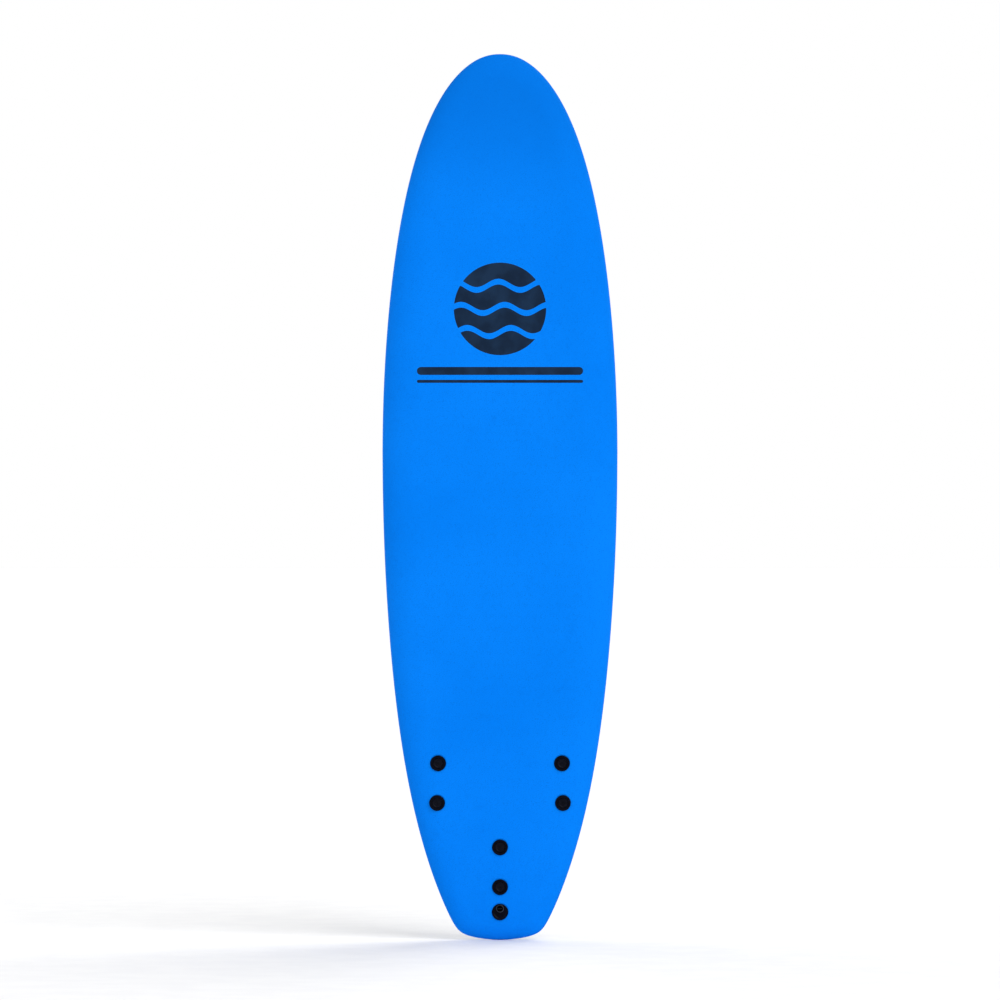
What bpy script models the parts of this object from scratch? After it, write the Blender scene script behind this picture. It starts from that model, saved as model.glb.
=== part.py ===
"""A soft-top surfboard with three bolt-on fins, standing on its tail with the nose up.

Frame: metres, +Z towards the nose, origin on the tail's end at the centreline and the rail's widest line,
deck facing -Y, bottom and fins facing +Y, +X to the right of someone who looks at the deck.

The hull is one smooth surface of two parameters. "turn" goes once round the outline and "across" goes
from the deck's centreline over the rail to the bottom's centreline. Skins and core are offsets of it.
"""

import math

import bmesh
import bpy
import numpy as np
from mathutils import Matrix, Vector

# ---------------------------------------------------------------- driving dimensions: the hull
LENGTH = 2.134
HALF_WIDTH = 0.284
WIDE_POINT = 1.17  # height of the widest section above the tail
TAIL_END_RADIUS = 0.31  # plan radius of the squash tail's end
THICKNESS = 0.083
# thickness along the board, as (height, share of THICKNESS)
THICKNESS_POINTS = (
    (0.0, 0.40),
    (0.15, 0.55),
    (0.45, 0.745),
    (0.85, 0.92),
    (1.25, 1.0),
    (1.55, 0.94),
    (1.85, 0.78),
    (2.134, 0.60),
)
FLAT_POINT = 0.5  # height where the bottom is parallel to Z
NOSE_LIFT = (0.048, 0.0046)  # rocker above and below that height: factors of its square and fourth power
TAIL_LIFT = (0.062, 0.080)
RAIL_HEIGHT = 0.42  # share of the thickness below the rail's widest line
BOTTOM_ROLL = 0.85  # width of the rounding below the rail, in thicknesses
DECK_ROLL = 1.15  # width of the rounding above the rail, in thicknesses
WRAP_ANGLE = 53.0  # degrees of the lower rounding that the deck skin wraps round
TAIL_SPINE = 0.10  # rays of the outline's ends meet at these two points
NOSE_SPINE = 1.974

# ---------------------------------------------------------------- driving dimensions: layers
GAP = 0.0003
DECK_SKIN = 0.005
BOTTOM_SKIN = 0.002
SEAM = 0.012  # gap between the skins' edges, and the ramp in the core beside it, as values of across
CORE_STEP = 0.05
STRINGER_X = 0.075
STRINGER_THICK = 0.003

# ---------------------------------------------------------------- driving dimensions: fins
FIN_PLACES = {  # name: (x, height of the flange's middle, toe-in, outward lean), degrees
    "left_fin": (-0.151, 0.379, 1.5, 4.0),
    "centre_fin": (0.0, 0.174, 0.0, 0.0),
    "right_fin": (0.151, 0.379, 1.5, 4.0),
}
FLANGE_LENGTH = 0.150
FLANGE_WIDTH = 0.032
FLANGE_DEPTH = 0.003  # below the bottom's surface
FLANGE_PROUD = 0.003  # above it
# the flange's section, as (height, inset from its full outline)
FLANGE_LEVELS = (
    (-FLANGE_DEPTH, 0.0006),
    (0.0014, 0.0),
    (FLANGE_PROUD - 0.0006, 0.0008),
    (FLANGE_PROUD, 0.0022),
)
POST_SPACING = 0.096
POST_RADIUS = 0.0055
# blade outline, as (distance behind the front root, height), in millimetres
LEADING_EDGE = (
    (0, 0),
    (14, 4),
    (25, 10),
    (48, 37.5),
    (80, 70),
    (110, 91.5),
    (143, 103),
    (160, 102),
    (173, 96),
    (179, 86),
)
TRAILING_EDGE = (
    (138, 0),
    (130, 5),
    (126, 14),
    (126, 30),
    (131, 48),
    (144, 61),
    (158, 70),
    (168, 74.5),
    (175, 78.5),
    (179, 86),
)
FRONT_ROOT = 0.073  # front root ahead of the flange's middle
GUARD_WIDTH = (0.0055, 0.0036)  # at the front root and at the rear root
GUARD_START = 2  # points of the two edges above which they carry the soft guard
GUARD_END = 1
# the guard's section, as (share of its width, share of half its thickness)
GUARD_SECTION = ((0.0, 0.35), (0.18, 0.85), (1.0, 1.0), (1.0, -1.0), (0.18, -0.85), (0.0, -0.35))
BLADE_THICK = (0.0074, 0.0048)  # at the root and at the tip
EDGE_THICK = 0.0050
THICKEST = 0.35  # share of the way across the blade where it is thickest
BLADE_COLUMNS = (0.0, 0.12, THICKEST, 0.65, 1.0)  # shares of the way across the blade

# ---------------------------------------------------------------- driving dimensions: fastenings
HEAD_RADIUS = 0.01875  # the bushing's head on the deck
HEAD_SINK = 0.0020
HEAD_PROUD = 0.0036
HEAD_CHAMFER = (0.0018, 0.0012)  # inwards and down
CUP_RADIUS = 0.0146
CUP_DEPTH = 0.0065
TUBE_RADIUS = 0.008
SCREW_WELL_RADIUS = 0.0127
SCREW_WELL_DEPTH = 0.0047
WEB = 0.0045  # between the screw's well and the end of the fin's post
SCREW_DROP = 0.0004  # of the screw's crown below the head of the bushing
SCREW_HEAD_RADIUS = 0.0123
SCREW_HEAD_THICK = 0.0026
SCREW_RIM = (0.0025, 0.0045)  # from the head's edge to the start and end of the slope into its dish
SCREW_DISH = 0.0008
SHANK_RADIUS = 0.0030
SHANK_LENGTH = 0.0208
SHANK_POINT = (0.0008, 0.0010)  # chamfer at the shank's end, inwards and along
SOCKET_ACROSS = 0.005
SOCKET_DEPTH = 0.0024
SEAL_THICK = 0.0011
SEAL_RADIUS = 0.006
INSERT_DROP = 0.0005  # of the insert below the post's end
INSERT_LENGTH = 0.016
INSERT_OUTER = 0.0044
INSERT_INNER = 0.0033

# ---------------------------------------------------------------- driving dimensions: leash plug
LEASH_Z = 0.065
LEASH_RIM_RADIUS = 0.0195
LEASH_RIM_SINK = 0.0018
LEASH_RIM_PROUD = 0.0022
LEASH_BARREL_RADIUS = 0.0175
LEASH_BARREL_LOW = 0.005  # its end above the bottom's surface
LEASH_DISH_RADIUS = 0.0145
LEASH_FLOOR = 0.0006  # the dish's floor above the deck
LEASH_WELL_OFFSET = 0.0085  # towards the nose
LEASH_WELL_RADIUS = 0.0073
LEASH_WELL_DEPTH = 0.015
LEASH_LIP_RADIUS = 0.0093  # the raised ring round the well
LEASH_LIP_PROUD = 0.0024
LEASH_LIP_ROOT = 0.003
LEASH_BAR_RADIUS = 0.002
LEASH_BAR_DEPTH = 0.005
LEASH_BAR_HALF = 0.0115
LEASH_DISC_RADIUS = 0.01675
LEASH_DISC_PROUD = 0.0018
LEASH_DISC_SINK = 0.0019
LEASH_STEM_RADIUS = 0.006
LEASH_STEM_LENGTH = 0.008  # inside the barrel

# ---------------------------------------------------------------- mesh fineness
STATIONS = 28  # along each side of the outline
TAIL_CROWDING = 1.25  # 1 spaces the stations evenly, and more crowds them towards the tail
DECK_STEPS = 4  # rows over the deck's rounding
RAIL_STEPS = 2  # rows from the rail's widest line to the deck skin's edge
BOTTOM_STEPS = 2  # rows from there to the flat of the bottom
EDGE_STEPS = 2  # points for each stretch of a blade's edge
ROUND = 18  # sides of a turned piece
SMALL_ROUND = 12
STADIUM_ROUND = 8  # sides of each end of a slot shape
SEAL_ROUND = 4
PAST = 0.02  # how far a cutter runs out past the surface


# ================================================================ small helpers
def clear_scene():
    for obj in list(bpy.data.objects):
        bpy.data.objects.remove(obj, do_unlink=True)


def make_material(name, colour, roughness, metallic=0.0):
    material = bpy.data.materials.new(name)
    material.use_nodes = True
    shader = material.node_tree.nodes["Principled BSDF"]
    shader.inputs["Base Color"].default_value = (*colour, 1.0)
    shader.inputs["Roughness"].default_value = roughness
    shader.inputs["Metallic"].default_value = metallic
    return material


def make_object(name, bm, material=None, matrix=None, origin=None):
    """Turns a bmesh into an object. matrix places it, and origin, in world space, becomes its origin."""
    bmesh.ops.remove_doubles(bm, verts=bm.verts, dist=2e-6)
    bmesh.ops.dissolve_degenerate(bm, edges=bm.edges, dist=1e-6)
    if matrix is not None:
        bm.transform(matrix)
    bmesh.ops.recalc_face_normals(bm, faces=bm.faces)
    if bm.calc_volume(signed=True) < 0:
        bmesh.ops.reverse_faces(bm, faces=bm.faces)
    if origin is not None:
        bm.transform(Matrix.Translation(-origin))
    mesh = bpy.data.meshes.new(name)
    bm.to_mesh(mesh)
    bm.free()
    mesh.shade_smooth()
    mesh.set_sharp_from_angle(angle=math.radians(35))
    obj = bpy.data.objects.new(name, mesh)
    if origin is not None:
        obj.location = origin
    if material is not None:
        mesh.materials.append(material)
    bpy.context.scene.collection.objects.link(obj)
    return obj


def as_cutter(obj):
    obj.hide_render = True
    obj.display_type = "WIRE"
    return obj


def boolean(obj, other, operation):
    modifier = obj.modifiers.new(f"{operation.lower()}_{other.name}", "BOOLEAN")
    modifier.operation = operation
    modifier.object = other


def smooth_curve(points, steps):
    """Points on a Catmull-Rom curve through the given ones, steps to each stretch."""
    known = np.array(points, float)
    ends = np.vstack([2 * known[0] - known[1], known, 2 * known[-1] - known[-2]])
    found = []
    for i in range(len(known) - 1):
        a, b, c, d = ends[i : i + 4]
        for t in np.arange(steps) / steps:
            bend = (2 * a - 5 * b + 4 * c - d) * t**2 + (3 * b - a - 3 * c + d) * t**3
            found.append(0.5 * (2 * b + (c - a) * t + bend))
    found.append(known[-1])
    return np.array(found)


THICKNESS_CURVE = smooth_curve(THICKNESS_POINTS, 12)


# ================================================================ the hull's surface
def half_width(z):
    """Half of the board's width at a height: an ellipse-like nose, a drawn-in side and a squash tail."""
    z = min(max(z, 0.0), LENGTH)
    if z >= WIDE_POINT:
        u = (z - WIDE_POINT) / (LENGTH - WIDE_POINT)
        return HALF_WIDTH * max(1 - u * u, 0.0) ** (0.41 + 0.05 * u**6)
    u = (WIDE_POINT - z) / WIDE_POINT
    side = HALF_WIDTH * (1 - u * u * (0.41 + 0.256 * u**3.4))
    end = math.sqrt(2 * TAIL_END_RADIUS * z)
    if end < 1e-6:
        return 0.0
    return (side**-6 + end**-6) ** (-1 / 6)


def lift(z):
    """How far the bottom's centreline curves away from its flattest point, towards the deck."""
    d = z - FLAT_POINT
    square, fourth = NOSE_LIFT if d > 0 else TAIL_LIFT
    return square * d**2 + fourth * d**4


def thickness(z):
    return THICKNESS * float(np.interp(z, THICKNESS_CURVE[:, 0], THICKNESS_CURVE[:, 1]))


TAIL_END_DEPTH = lift(0.0) + RAIL_HEIGHT * thickness(0.0)


def rocker(z):
    """Distance of the bottom's centreline from the plane y = 0, which holds the tail's end."""
    return lift(z) - TAIL_END_DEPTH


def hull_point(turn, across):
    """A point of the hull. turn runs from -pi to pi, 0 at the tail; across runs from -2 (deck centre), over
    -1 (edge of the deck's flat), 0 (the rail's widest line) and 1 (edge of the bottom's flat), to 2."""
    z_out = LENGTH * (1 - math.cos(turn)) / 2
    x_out = math.copysign(half_width(z_out), math.sin(turn))
    z_in = min(max(z_out, TAIL_SPINE), NOSE_SPINE)
    reach = math.hypot(x_out, z_out - z_in)
    on_deck = across < 0
    roll = thickness(z_out) * (DECK_ROLL if on_deck else BOTTOM_ROLL)
    part = abs(across)
    angle = math.pi / 2 * min(part, 1.0)
    inset = roll * (1 - math.cos(angle))
    if part > 1:
        inset = roll + (reach - roll) * (part - 1)
    share = inset / reach
    x = x_out * (1 - share)
    z = z_out + (z_in - z_out) * share
    rail = RAIL_HEIGHT * thickness(z)
    if on_deck:
        height = rail + (thickness(z) - rail) * math.sin(angle)
    else:
        height = rail * (1 - math.sin(angle))
    return Vector((x, -rocker(z) - height, z))


def slope_of(line, z, step=0.002):
    return (line(z + step) - line(z - step)) / (2 * step)


def deck_line(z):
    return rocker(z) + thickness(z)


def hull_normal(turn, across):
    """The outward normal of the hull at a place."""
    if abs(across) >= 1:
        z = hull_point(turn, across).z
        if across < 0:
            return Vector((0, -1, -slope_of(deck_line, z))).normalized()
        return Vector((0, 1, slope_of(rocker, z))).normalized()
    step = 0.004
    along = hull_point(turn + step, across) - hull_point(turn - step, across)
    over = hull_point(turn, across + step) - hull_point(turn, across - step)
    return over.cross(along).normalized()


def turns():
    """The stations round the outline, from just past the nose's tip back to it."""
    one_side = [math.pi * (i / STATIONS) ** TAIL_CROWDING for i in range(STATIONS + 1)]
    return [-turn for turn in one_side[-2:0:-1]] + one_side


def offset_grid(rows, depth):
    """Points under the hull's surface, one list for each station. depth gives the offset for each row."""
    grid = []
    for turn in turns():
        line = []
        for across in rows:
            line.append(hull_point(turn, across) - hull_normal(turn, across) * depth(across))
        grid.append(line)
    return grid


def ring_faces(bm, grid):
    """Joins each station's line of points to the next station's, closing round the outline. Every grid is
    split along the same diagonals, so that two offsets of one surface keep their distance."""
    columns = [[bm.verts.new(point) for point in line] for line in grid]
    for i, column in enumerate(columns):
        after = columns[(i + 1) % len(columns)]
        for j in range(len(column) - 1):
            bm.faces.new((column[j], column[j + 1], after[j + 1]))
            bm.faces.new((column[j], after[j + 1], after[j]))
    return columns


def wrap_edge():
    """Where the deck skin ends on the lower rounding, as a value of across."""
    return (90 - WRAP_ANGLE) / 90


def deck_rows():
    over = [-1 + i / DECK_STEPS for i in range(DECK_STEPS)]
    under = [wrap_edge() * i / RAIL_STEPS for i in range(RAIL_STEPS + 1)]
    return [-2.0] + over + under


def bottom_rows():
    """Rows of the bottom skin, the first just clear of the deck skin's edge."""
    start = wrap_edge() + SEAM
    over = [start + (1 - start) * i / BOTTOM_STEPS for i in range(1, BOTTOM_STEPS + 1)]
    return [start, start + CORE_STEP] + over + [2.0]


def skin_mesh(rows, thick):
    """A shell between the hull's surface and one a skin's thickness below it, closed round its edge."""
    bm = bmesh.new()
    outer = ring_faces(bm, offset_grid(rows, lambda across: 0.0))
    inner = ring_faces(bm, offset_grid(rows, lambda across: thick))
    edge = -1 if rows[0] <= -2 else 0
    for i in range(len(outer)):
        j = (i + 1) % len(outer)
        bm.faces.new((outer[i][edge], outer[j][edge], inner[j][edge], inner[i][edge]))
    return bm


def core_depth(across):
    """The core is lower under the thick deck skin than under the thin bottom skin."""
    if across < wrap_edge() + SEAM + CORE_STEP / 2:
        return DECK_SKIN + GAP
    return BOTTOM_SKIN + GAP


def core_mesh():
    bm = bmesh.new()
    ring_faces(bm, offset_grid(deck_rows() + bottom_rows(), core_depth))
    return bm


# ================================================================ turned and prismatic shapes
def turned(bm, profile, sides=ROUND, centre=(0.0, 0.0)):
    """Adds a closed profile of (radius, height) turned about the local Z axis through centre."""
    rings = []
    for radius, height in profile:
        ring = []
        for i in range(sides if radius > 0 else 1):
            angle = 2 * math.pi * i / sides
            x = centre[0] + radius * math.cos(angle)
            y = centre[1] + radius * math.sin(angle)
            ring.append(bm.verts.new((x, y, height)))
        rings.append(ring)
    closed = profile[0][0] > 0
    for k in range(len(rings) if closed else len(rings) - 1):
        first = rings[k]
        second = rings[(k + 1) % len(rings)]
        for i in range(sides):
            a = first[i % len(first)]
            b = first[(i + 1) % len(first)]
            c = second[(i + 1) % len(second)]
            d = second[i % len(second)]
            corners = [v for n, v in enumerate((a, b, c, d)) if v not in (a, b, c, d)[:n]]
            if len(corners) > 2:
                bm.faces.new(corners)


def turned_object(name, profile, material=None, matrix=None, origin=None, sides=ROUND, centre=(0.0, 0.0)):
    bm = bmesh.new()
    turned(bm, profile, sides, centre)
    return make_object(name, bm, material, matrix, origin)


def rod(radius, low, high):
    """Profile of a plain cylinder."""
    return [(0, low), (radius, low), (radius, high), (0, high)]


def stadium_outline(length, width):
    """Points round a slot shape whose long axis is local X."""
    points = []
    reach = (length - width) / 2
    for end in (1, -1):
        for i in range(STADIUM_ROUND + 1):
            angle = math.pi * i / STADIUM_ROUND - math.pi / 2
            points.append((end * (reach + width / 2 * math.cos(angle)), end * width / 2 * math.sin(angle)))
    return points


def stadium_solid(bm, length, width, levels):
    """A slot-shaped block. levels is a list of (height, inset from the full outline)."""
    rings = []
    for height, inset in levels:
        outline = stadium_outline(length - 2 * inset, width - 2 * inset)
        rings.append([bm.verts.new((x, y, height)) for x, y in outline])
    bm.faces.new(rings[0][::-1])
    bm.faces.new(rings[-1])
    for low, high in zip(rings, rings[1:]):
        for i in range(len(low)):
            j = (i + 1) % len(low)
            bm.faces.new((low[i], low[j], high[j], high[i]))


# ================================================================ local frames
def bottom_frame(x, z, toe=0.0):
    """A frame on the bottom's surface: local X towards the nose, local Y towards +X, local Z out of it."""
    out = Vector((0, 1, slope_of(rocker, z))).normalized()
    side = Vector((1, 0, 0))
    ahead = side.cross(out)
    turn = Matrix.Rotation(math.radians(toe), 4, out)
    ahead = turn @ ahead
    side = out.cross(ahead)
    frame = Matrix.Identity(4)
    frame.col[0][:3] = ahead
    frame.col[1][:3] = side
    frame.col[2][:3] = out
    frame.col[3][:3] = Vector((x, -rocker(z), z))
    return frame


def deck_height(x, z):
    """How far the deck's surface is from the plane y = 0 above a place of the bottom."""
    roll = thickness(z) * DECK_ROLL
    inset = min((half_width(z) - abs(x)) / roll, 1.0)
    rail = RAIL_HEIGHT * thickness(z)
    return rocker(z) + rail + (thickness(z) - rail) * math.sqrt(1 - (1 - inset) ** 2)


def depth_of_board(frame, x_local):
    """Distance from the bottom to the deck along a frame's axis, at a place on its local X."""
    depth = 0.05
    for _ in range(20):
        point = frame @ Vector((x_local, 0, -depth))
        depth += deck_height(point.x, point.z) + point.y
    return depth


# ================================================================ the board
def build_board(materials, cutters):
    """Core strips, stringers and the two skins, with the holes for the fins and the leash plug."""
    deck = make_object("deck_skin", skin_mesh(deck_rows(), DECK_SKIN), materials["deck_foam"])
    bottom = make_object("bottom_skin", skin_mesh(bottom_rows(), BOTTOM_SKIN), materials["slick"])
    for cutter in cutters["deck"]:
        boolean(deck, cutter, "DIFFERENCE")
    for cutter in cutters["bottom"]:
        boolean(bottom, cutter, "DIFFERENCE")

    half = STRINGER_THICK / 2
    inner = STRINGER_X - half - GAP
    outer = STRINGER_X + half + GAP
    strips = {
        "left_core": (-1.0, -outer),
        "centre_core": (-inner, inner),
        "right_core": (outer, 1.0),
        "left_stringer": (-STRINGER_X - half, -STRINGER_X + half),
        "right_stringer": (STRINGER_X - half, STRINGER_X + half),
    }
    for name, (low, high) in strips.items():
        material = materials["plywood" if "stringer" in name else "core_foam"]
        strip = make_object(name, core_mesh(), material)
        slab = as_cutter(box_object(f"{name}_slab", (low, -1.0, -1.0), (high, 1.0, 3.0)))
        boolean(strip, slab, "INTERSECT")
        for cutter in cutters.get(name, ()):
            boolean(strip, cutter, "DIFFERENCE")


def box_object(name, low, high):
    bm = bmesh.new()
    bmesh.ops.create_cube(bm, size=1.0)
    for vertex in bm.verts:
        for axis in range(3):
            vertex.co[axis] = high[axis] if vertex.co[axis] > 0 else low[axis]
    return make_object(name, bm)


# ================================================================ fins
def edge_curve(points):
    """A blade edge in the fin's local plane: (distance ahead of the flange's middle, height)."""
    curve = smooth_curve(points, EDGE_STEPS) / 1000
    return [Vector((FRONT_ROOT - s, 0.0, FLANGE_PROUD + h)) for s, h in curve]


def blade_outline():
    """Points from the front root over the tip to the rear root, and the direction into the blade at each,
    as long as the guard is wide there."""
    path = edge_curve(LEADING_EDGE) + edge_curve(TRAILING_EDGE)[-2::-1]
    last = len(path) - 1
    inward = []
    for i in range(len(path)):
        along = (path[min(i + 1, last)] - path[max(i - 1, 0)]).normalized()
        width = GUARD_WIDTH[0] + (GUARD_WIDTH[1] - GUARD_WIDTH[0]) * i / last
        inward.append(Vector((-along.z, 0, along.x)) * width)
    return path, inward


def guard_span():
    """First and last place of the blade's outline that carry the soft guard."""
    last = 2 * (len(LEADING_EDGE) - 1) * EDGE_STEPS
    return GUARD_START * EDGE_STEPS, last - GUARD_END * EDGE_STEPS


def lean_matrix(lean):
    return Matrix.Translation((0, 0, FLANGE_PROUD)) @ Matrix.Rotation(lean, 4, "X") @ Matrix.Translation(
        (0, 0, -FLANGE_PROUD)
    )


def blade_thickness(level):
    """Full thickness of the blade at a share of the way from the root to the tip."""
    return BLADE_THICK[0] + (BLADE_THICK[1] - BLADE_THICK[0]) * level


def blade_mesh(lean):
    """The hard blade: a foil between its two edges, set back where they carry the soft guard."""
    path, inward = blade_outline()
    start, end = guard_span()
    edge = []
    for i, point in enumerate(path):
        if start <= i <= end:
            point = point + inward[i] + inward[i].normalized() * GAP
        edge.append(point)
    levels = len(path) // 2
    last = len(BLADE_COLUMNS) - 1
    bm = bmesh.new()
    sides = []
    for side in (1, -1):
        rows = []
        for i in range(levels + 1):
            full = blade_thickness(i / levels)
            row = []
            for share in BLADE_COLUMNS:
                bulge = 1 - (abs(share - THICKEST) / (1 - THICKEST)) ** 2 if i < levels else 0.0
                point = edge[i].lerp(edge[-1 - i], share)
                point.y = side * (EDGE_THICK + (full - EDGE_THICK) * bulge) / 2
                if i == 0:
                    point.z -= FLANGE_PROUD
                row.append(bm.verts.new(point))
            rows.append(row)
        sides.append(rows)
    for rows in sides:
        for low, high in zip(rows, rows[1:]):
            for j in range(last):
                bm.faces.new((low[j], low[j + 1], high[j + 1], high[j]))
    first, second = sides
    for j in range(last):
        bm.faces.new((first[0][j], first[0][j + 1], second[0][j + 1], second[0][j]))
    for column in (0, last):
        for i in range(levels):
            corners = (first[i][column], first[i + 1][column], second[i + 1][column], second[i][column])
            bm.faces.new(corners)
    bm.transform(lean_matrix(lean))
    return bm


def guard_mesh(lean):
    """The soft edge: a rounded strip up the leading edge, over the tip and down the trailing edge."""
    path, inward = blade_outline()
    start, end = guard_span()
    half = EDGE_THICK / 2
    count = len(GUARD_SECTION)
    bm = bmesh.new()
    rings = []
    for i in range(start, end + 1):
        ring = []
        for deep, across in GUARD_SECTION:
            ring.append(bm.verts.new(path[i] + inward[i] * deep + Vector((0, across * half, 0))))
        rings.append(ring)
    bm.faces.new(rings[0])
    bm.faces.new(rings[-1][::-1])
    for low, high in zip(rings, rings[1:]):
        for k in range(count):
            n = (k + 1) % count
            bm.faces.new((low[k], low[n], high[n], high[k]))
    bm.transform(lean_matrix(lean))
    return bm


def build_fin(name, materials, cutters):
    """One fin with its flange, posts and guard, and the fastenings that hold it."""
    x, z, toe, lean = FIN_PLACES[name]
    side = name.split("_")[0]
    sign = (x > 0) - (x < 0)
    frame = bottom_frame(x, z, -sign * toe)
    origin = frame.translation.copy()
    strip = f"{side}_core"

    bm = bmesh.new()
    stadium_solid(bm, FLANGE_LENGTH, FLANGE_WIDTH, FLANGE_LEVELS)
    fin = make_object(name, bm, materials["fin_plastic"], frame, origin)
    blade = make_object(f"{name}_blade_form", blade_mesh(-sign * math.radians(lean)), None, frame, origin)
    boolean(fin, as_cutter(blade), "UNION")
    guard = guard_mesh(-sign * math.radians(lean))
    make_object(f"{name}_soft_edge", guard, materials["fin_edge"], frame, origin)

    bm = bmesh.new()
    stadium_solid(bm, FLANGE_LENGTH, FLANGE_WIDTH, ((-FLANGE_DEPTH - GAP, -GAP), (PAST, -GAP)))
    recess = as_cutter(make_object(f"{name}_recess", bm, None, frame))
    cutters["bottom"].append(recess)
    cutters[strip].append(recess)

    for place, x_local in (("front", POST_SPACING / 2), ("rear", -POST_SPACING / 2)):
        build_fastening(f"{side}_{place}", frame, x_local, fin, materials, cutters, strip)


def build_fastening(name, frame, x_local, fin, materials, cutters, strip):
    """Bushing, screw, seal and threaded insert on one post. Local Z points into the board, to the deck."""
    depth = depth_of_board(frame, x_local)
    flip = Matrix.Translation((x_local, 0, 0)) @ Matrix.Rotation(math.pi, 4, "X")
    place = frame @ flip
    top = depth + HEAD_PROUD
    seat = depth - HEAD_SINK
    well = top - SCREW_WELL_DEPTH
    post_end = well - WEB - 2 * GAP
    bushing = [
        (TUBE_RADIUS, FLANGE_DEPTH + 2 * GAP),
        (TUBE_RADIUS, depth - CUP_DEPTH),
        (CUP_RADIUS, depth - CUP_DEPTH),
        (CUP_RADIUS, seat),
        (HEAD_RADIUS, seat),
        (HEAD_RADIUS, top - HEAD_CHAMFER[1]),
        (HEAD_RADIUS - HEAD_CHAMFER[0], top),
        (SCREW_WELL_RADIUS, top),
        (SCREW_WELL_RADIUS, well),
        (SHANK_RADIUS + 2 * GAP, well),
        (SHANK_RADIUS + 2 * GAP, well - WEB),
        (POST_RADIUS + GAP, well - WEB),
        (POST_RADIUS + GAP, FLANGE_DEPTH + 2 * GAP),
    ]
    turned_object(f"{name}_bushing", bushing, materials["bushing_plastic"], place)

    hole = [
        (0, FLANGE_DEPTH - GAP),
        (TUBE_RADIUS + GAP, FLANGE_DEPTH - GAP),
        (TUBE_RADIUS + GAP, depth - CUP_DEPTH - GAP),
        (CUP_RADIUS + GAP, depth - CUP_DEPTH - GAP),
        (CUP_RADIUS + GAP, seat - GAP),
        (HEAD_RADIUS + GAP, seat - GAP),
        (HEAD_RADIUS + GAP, depth + PAST),
        (0, depth + PAST),
    ]
    cutter = as_cutter(turned_object(f"{name}_hole", hole, None, place))
    cutters["deck"].append(cutter)
    cutters[strip].append(cutter)

    insert_high = post_end - INSERT_DROP
    insert_low = insert_high - INSERT_LENGTH
    post_form = turned_object(f"{name}_post_form", rod(POST_RADIUS, 0.0, post_end), None, place)
    boolean(fin, as_cutter(post_form), "UNION")
    bore_profile = rod(INSERT_OUTER + GAP, insert_low - 2 * GAP, post_end + PAST)
    bore_form = turned_object(f"{name}_post_bore", bore_profile, None, place, sides=SMALL_ROUND)
    boolean(fin, as_cutter(bore_form), "DIFFERENCE")

    insert = [
        (INSERT_OUTER, insert_low),
        (INSERT_OUTER, insert_high),
        (INSERT_INNER, insert_high),
        (INSERT_INNER, insert_low),
    ]
    turned_object(f"{name}_insert", insert, materials["brass"], place, sides=SMALL_ROUND)

    build_screw(name, place, top, materials)
    seal_height = well + GAP + SEAL_THICK / 2
    radius = SEAL_THICK / 2
    seal = []
    for i in range(SEAL_ROUND):
        angle = 2 * math.pi * i / SEAL_ROUND
        seal.append((SEAL_RADIUS + radius * math.sin(angle), seal_height + radius * math.cos(angle)))
    axis_point = place @ Vector((0, 0, well))
    turned_object(f"{name}_seal", seal, materials["seal_rubber"], place, axis_point, sides=SMALL_ROUND)


def build_screw(name, place, top, materials):
    """A wide-headed screw with a hex socket, its origin on its axis under the head."""
    crown = top - SCREW_DROP
    under = crown - SCREW_HEAD_THICK
    shank_end = under - SHANK_LENGTH
    profile = [
        (0, shank_end),
        (SHANK_RADIUS - SHANK_POINT[0], shank_end),
        (SHANK_RADIUS, shank_end + SHANK_POINT[1]),
        (SHANK_RADIUS, under),
        (SCREW_HEAD_RADIUS, under),
        (SCREW_HEAD_RADIUS, crown),
        (SCREW_HEAD_RADIUS - SCREW_RIM[0], crown),
        (SCREW_HEAD_RADIUS - SCREW_RIM[1], crown - SCREW_DISH),
        (0, crown - SCREW_DISH),
    ]
    axis_point = place @ Vector((0, 0, under))
    screw = turned_object(f"{name}_screw", profile, materials["screw_metal"], place, axis_point)
    socket_profile = rod(SOCKET_ACROSS / math.sqrt(3), crown - SOCKET_DEPTH, crown + PAST)
    socket = turned_object(f"{name}_socket", socket_profile, None, place, sides=6)
    boolean(screw, as_cutter(socket), "DIFFERENCE")


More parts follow.
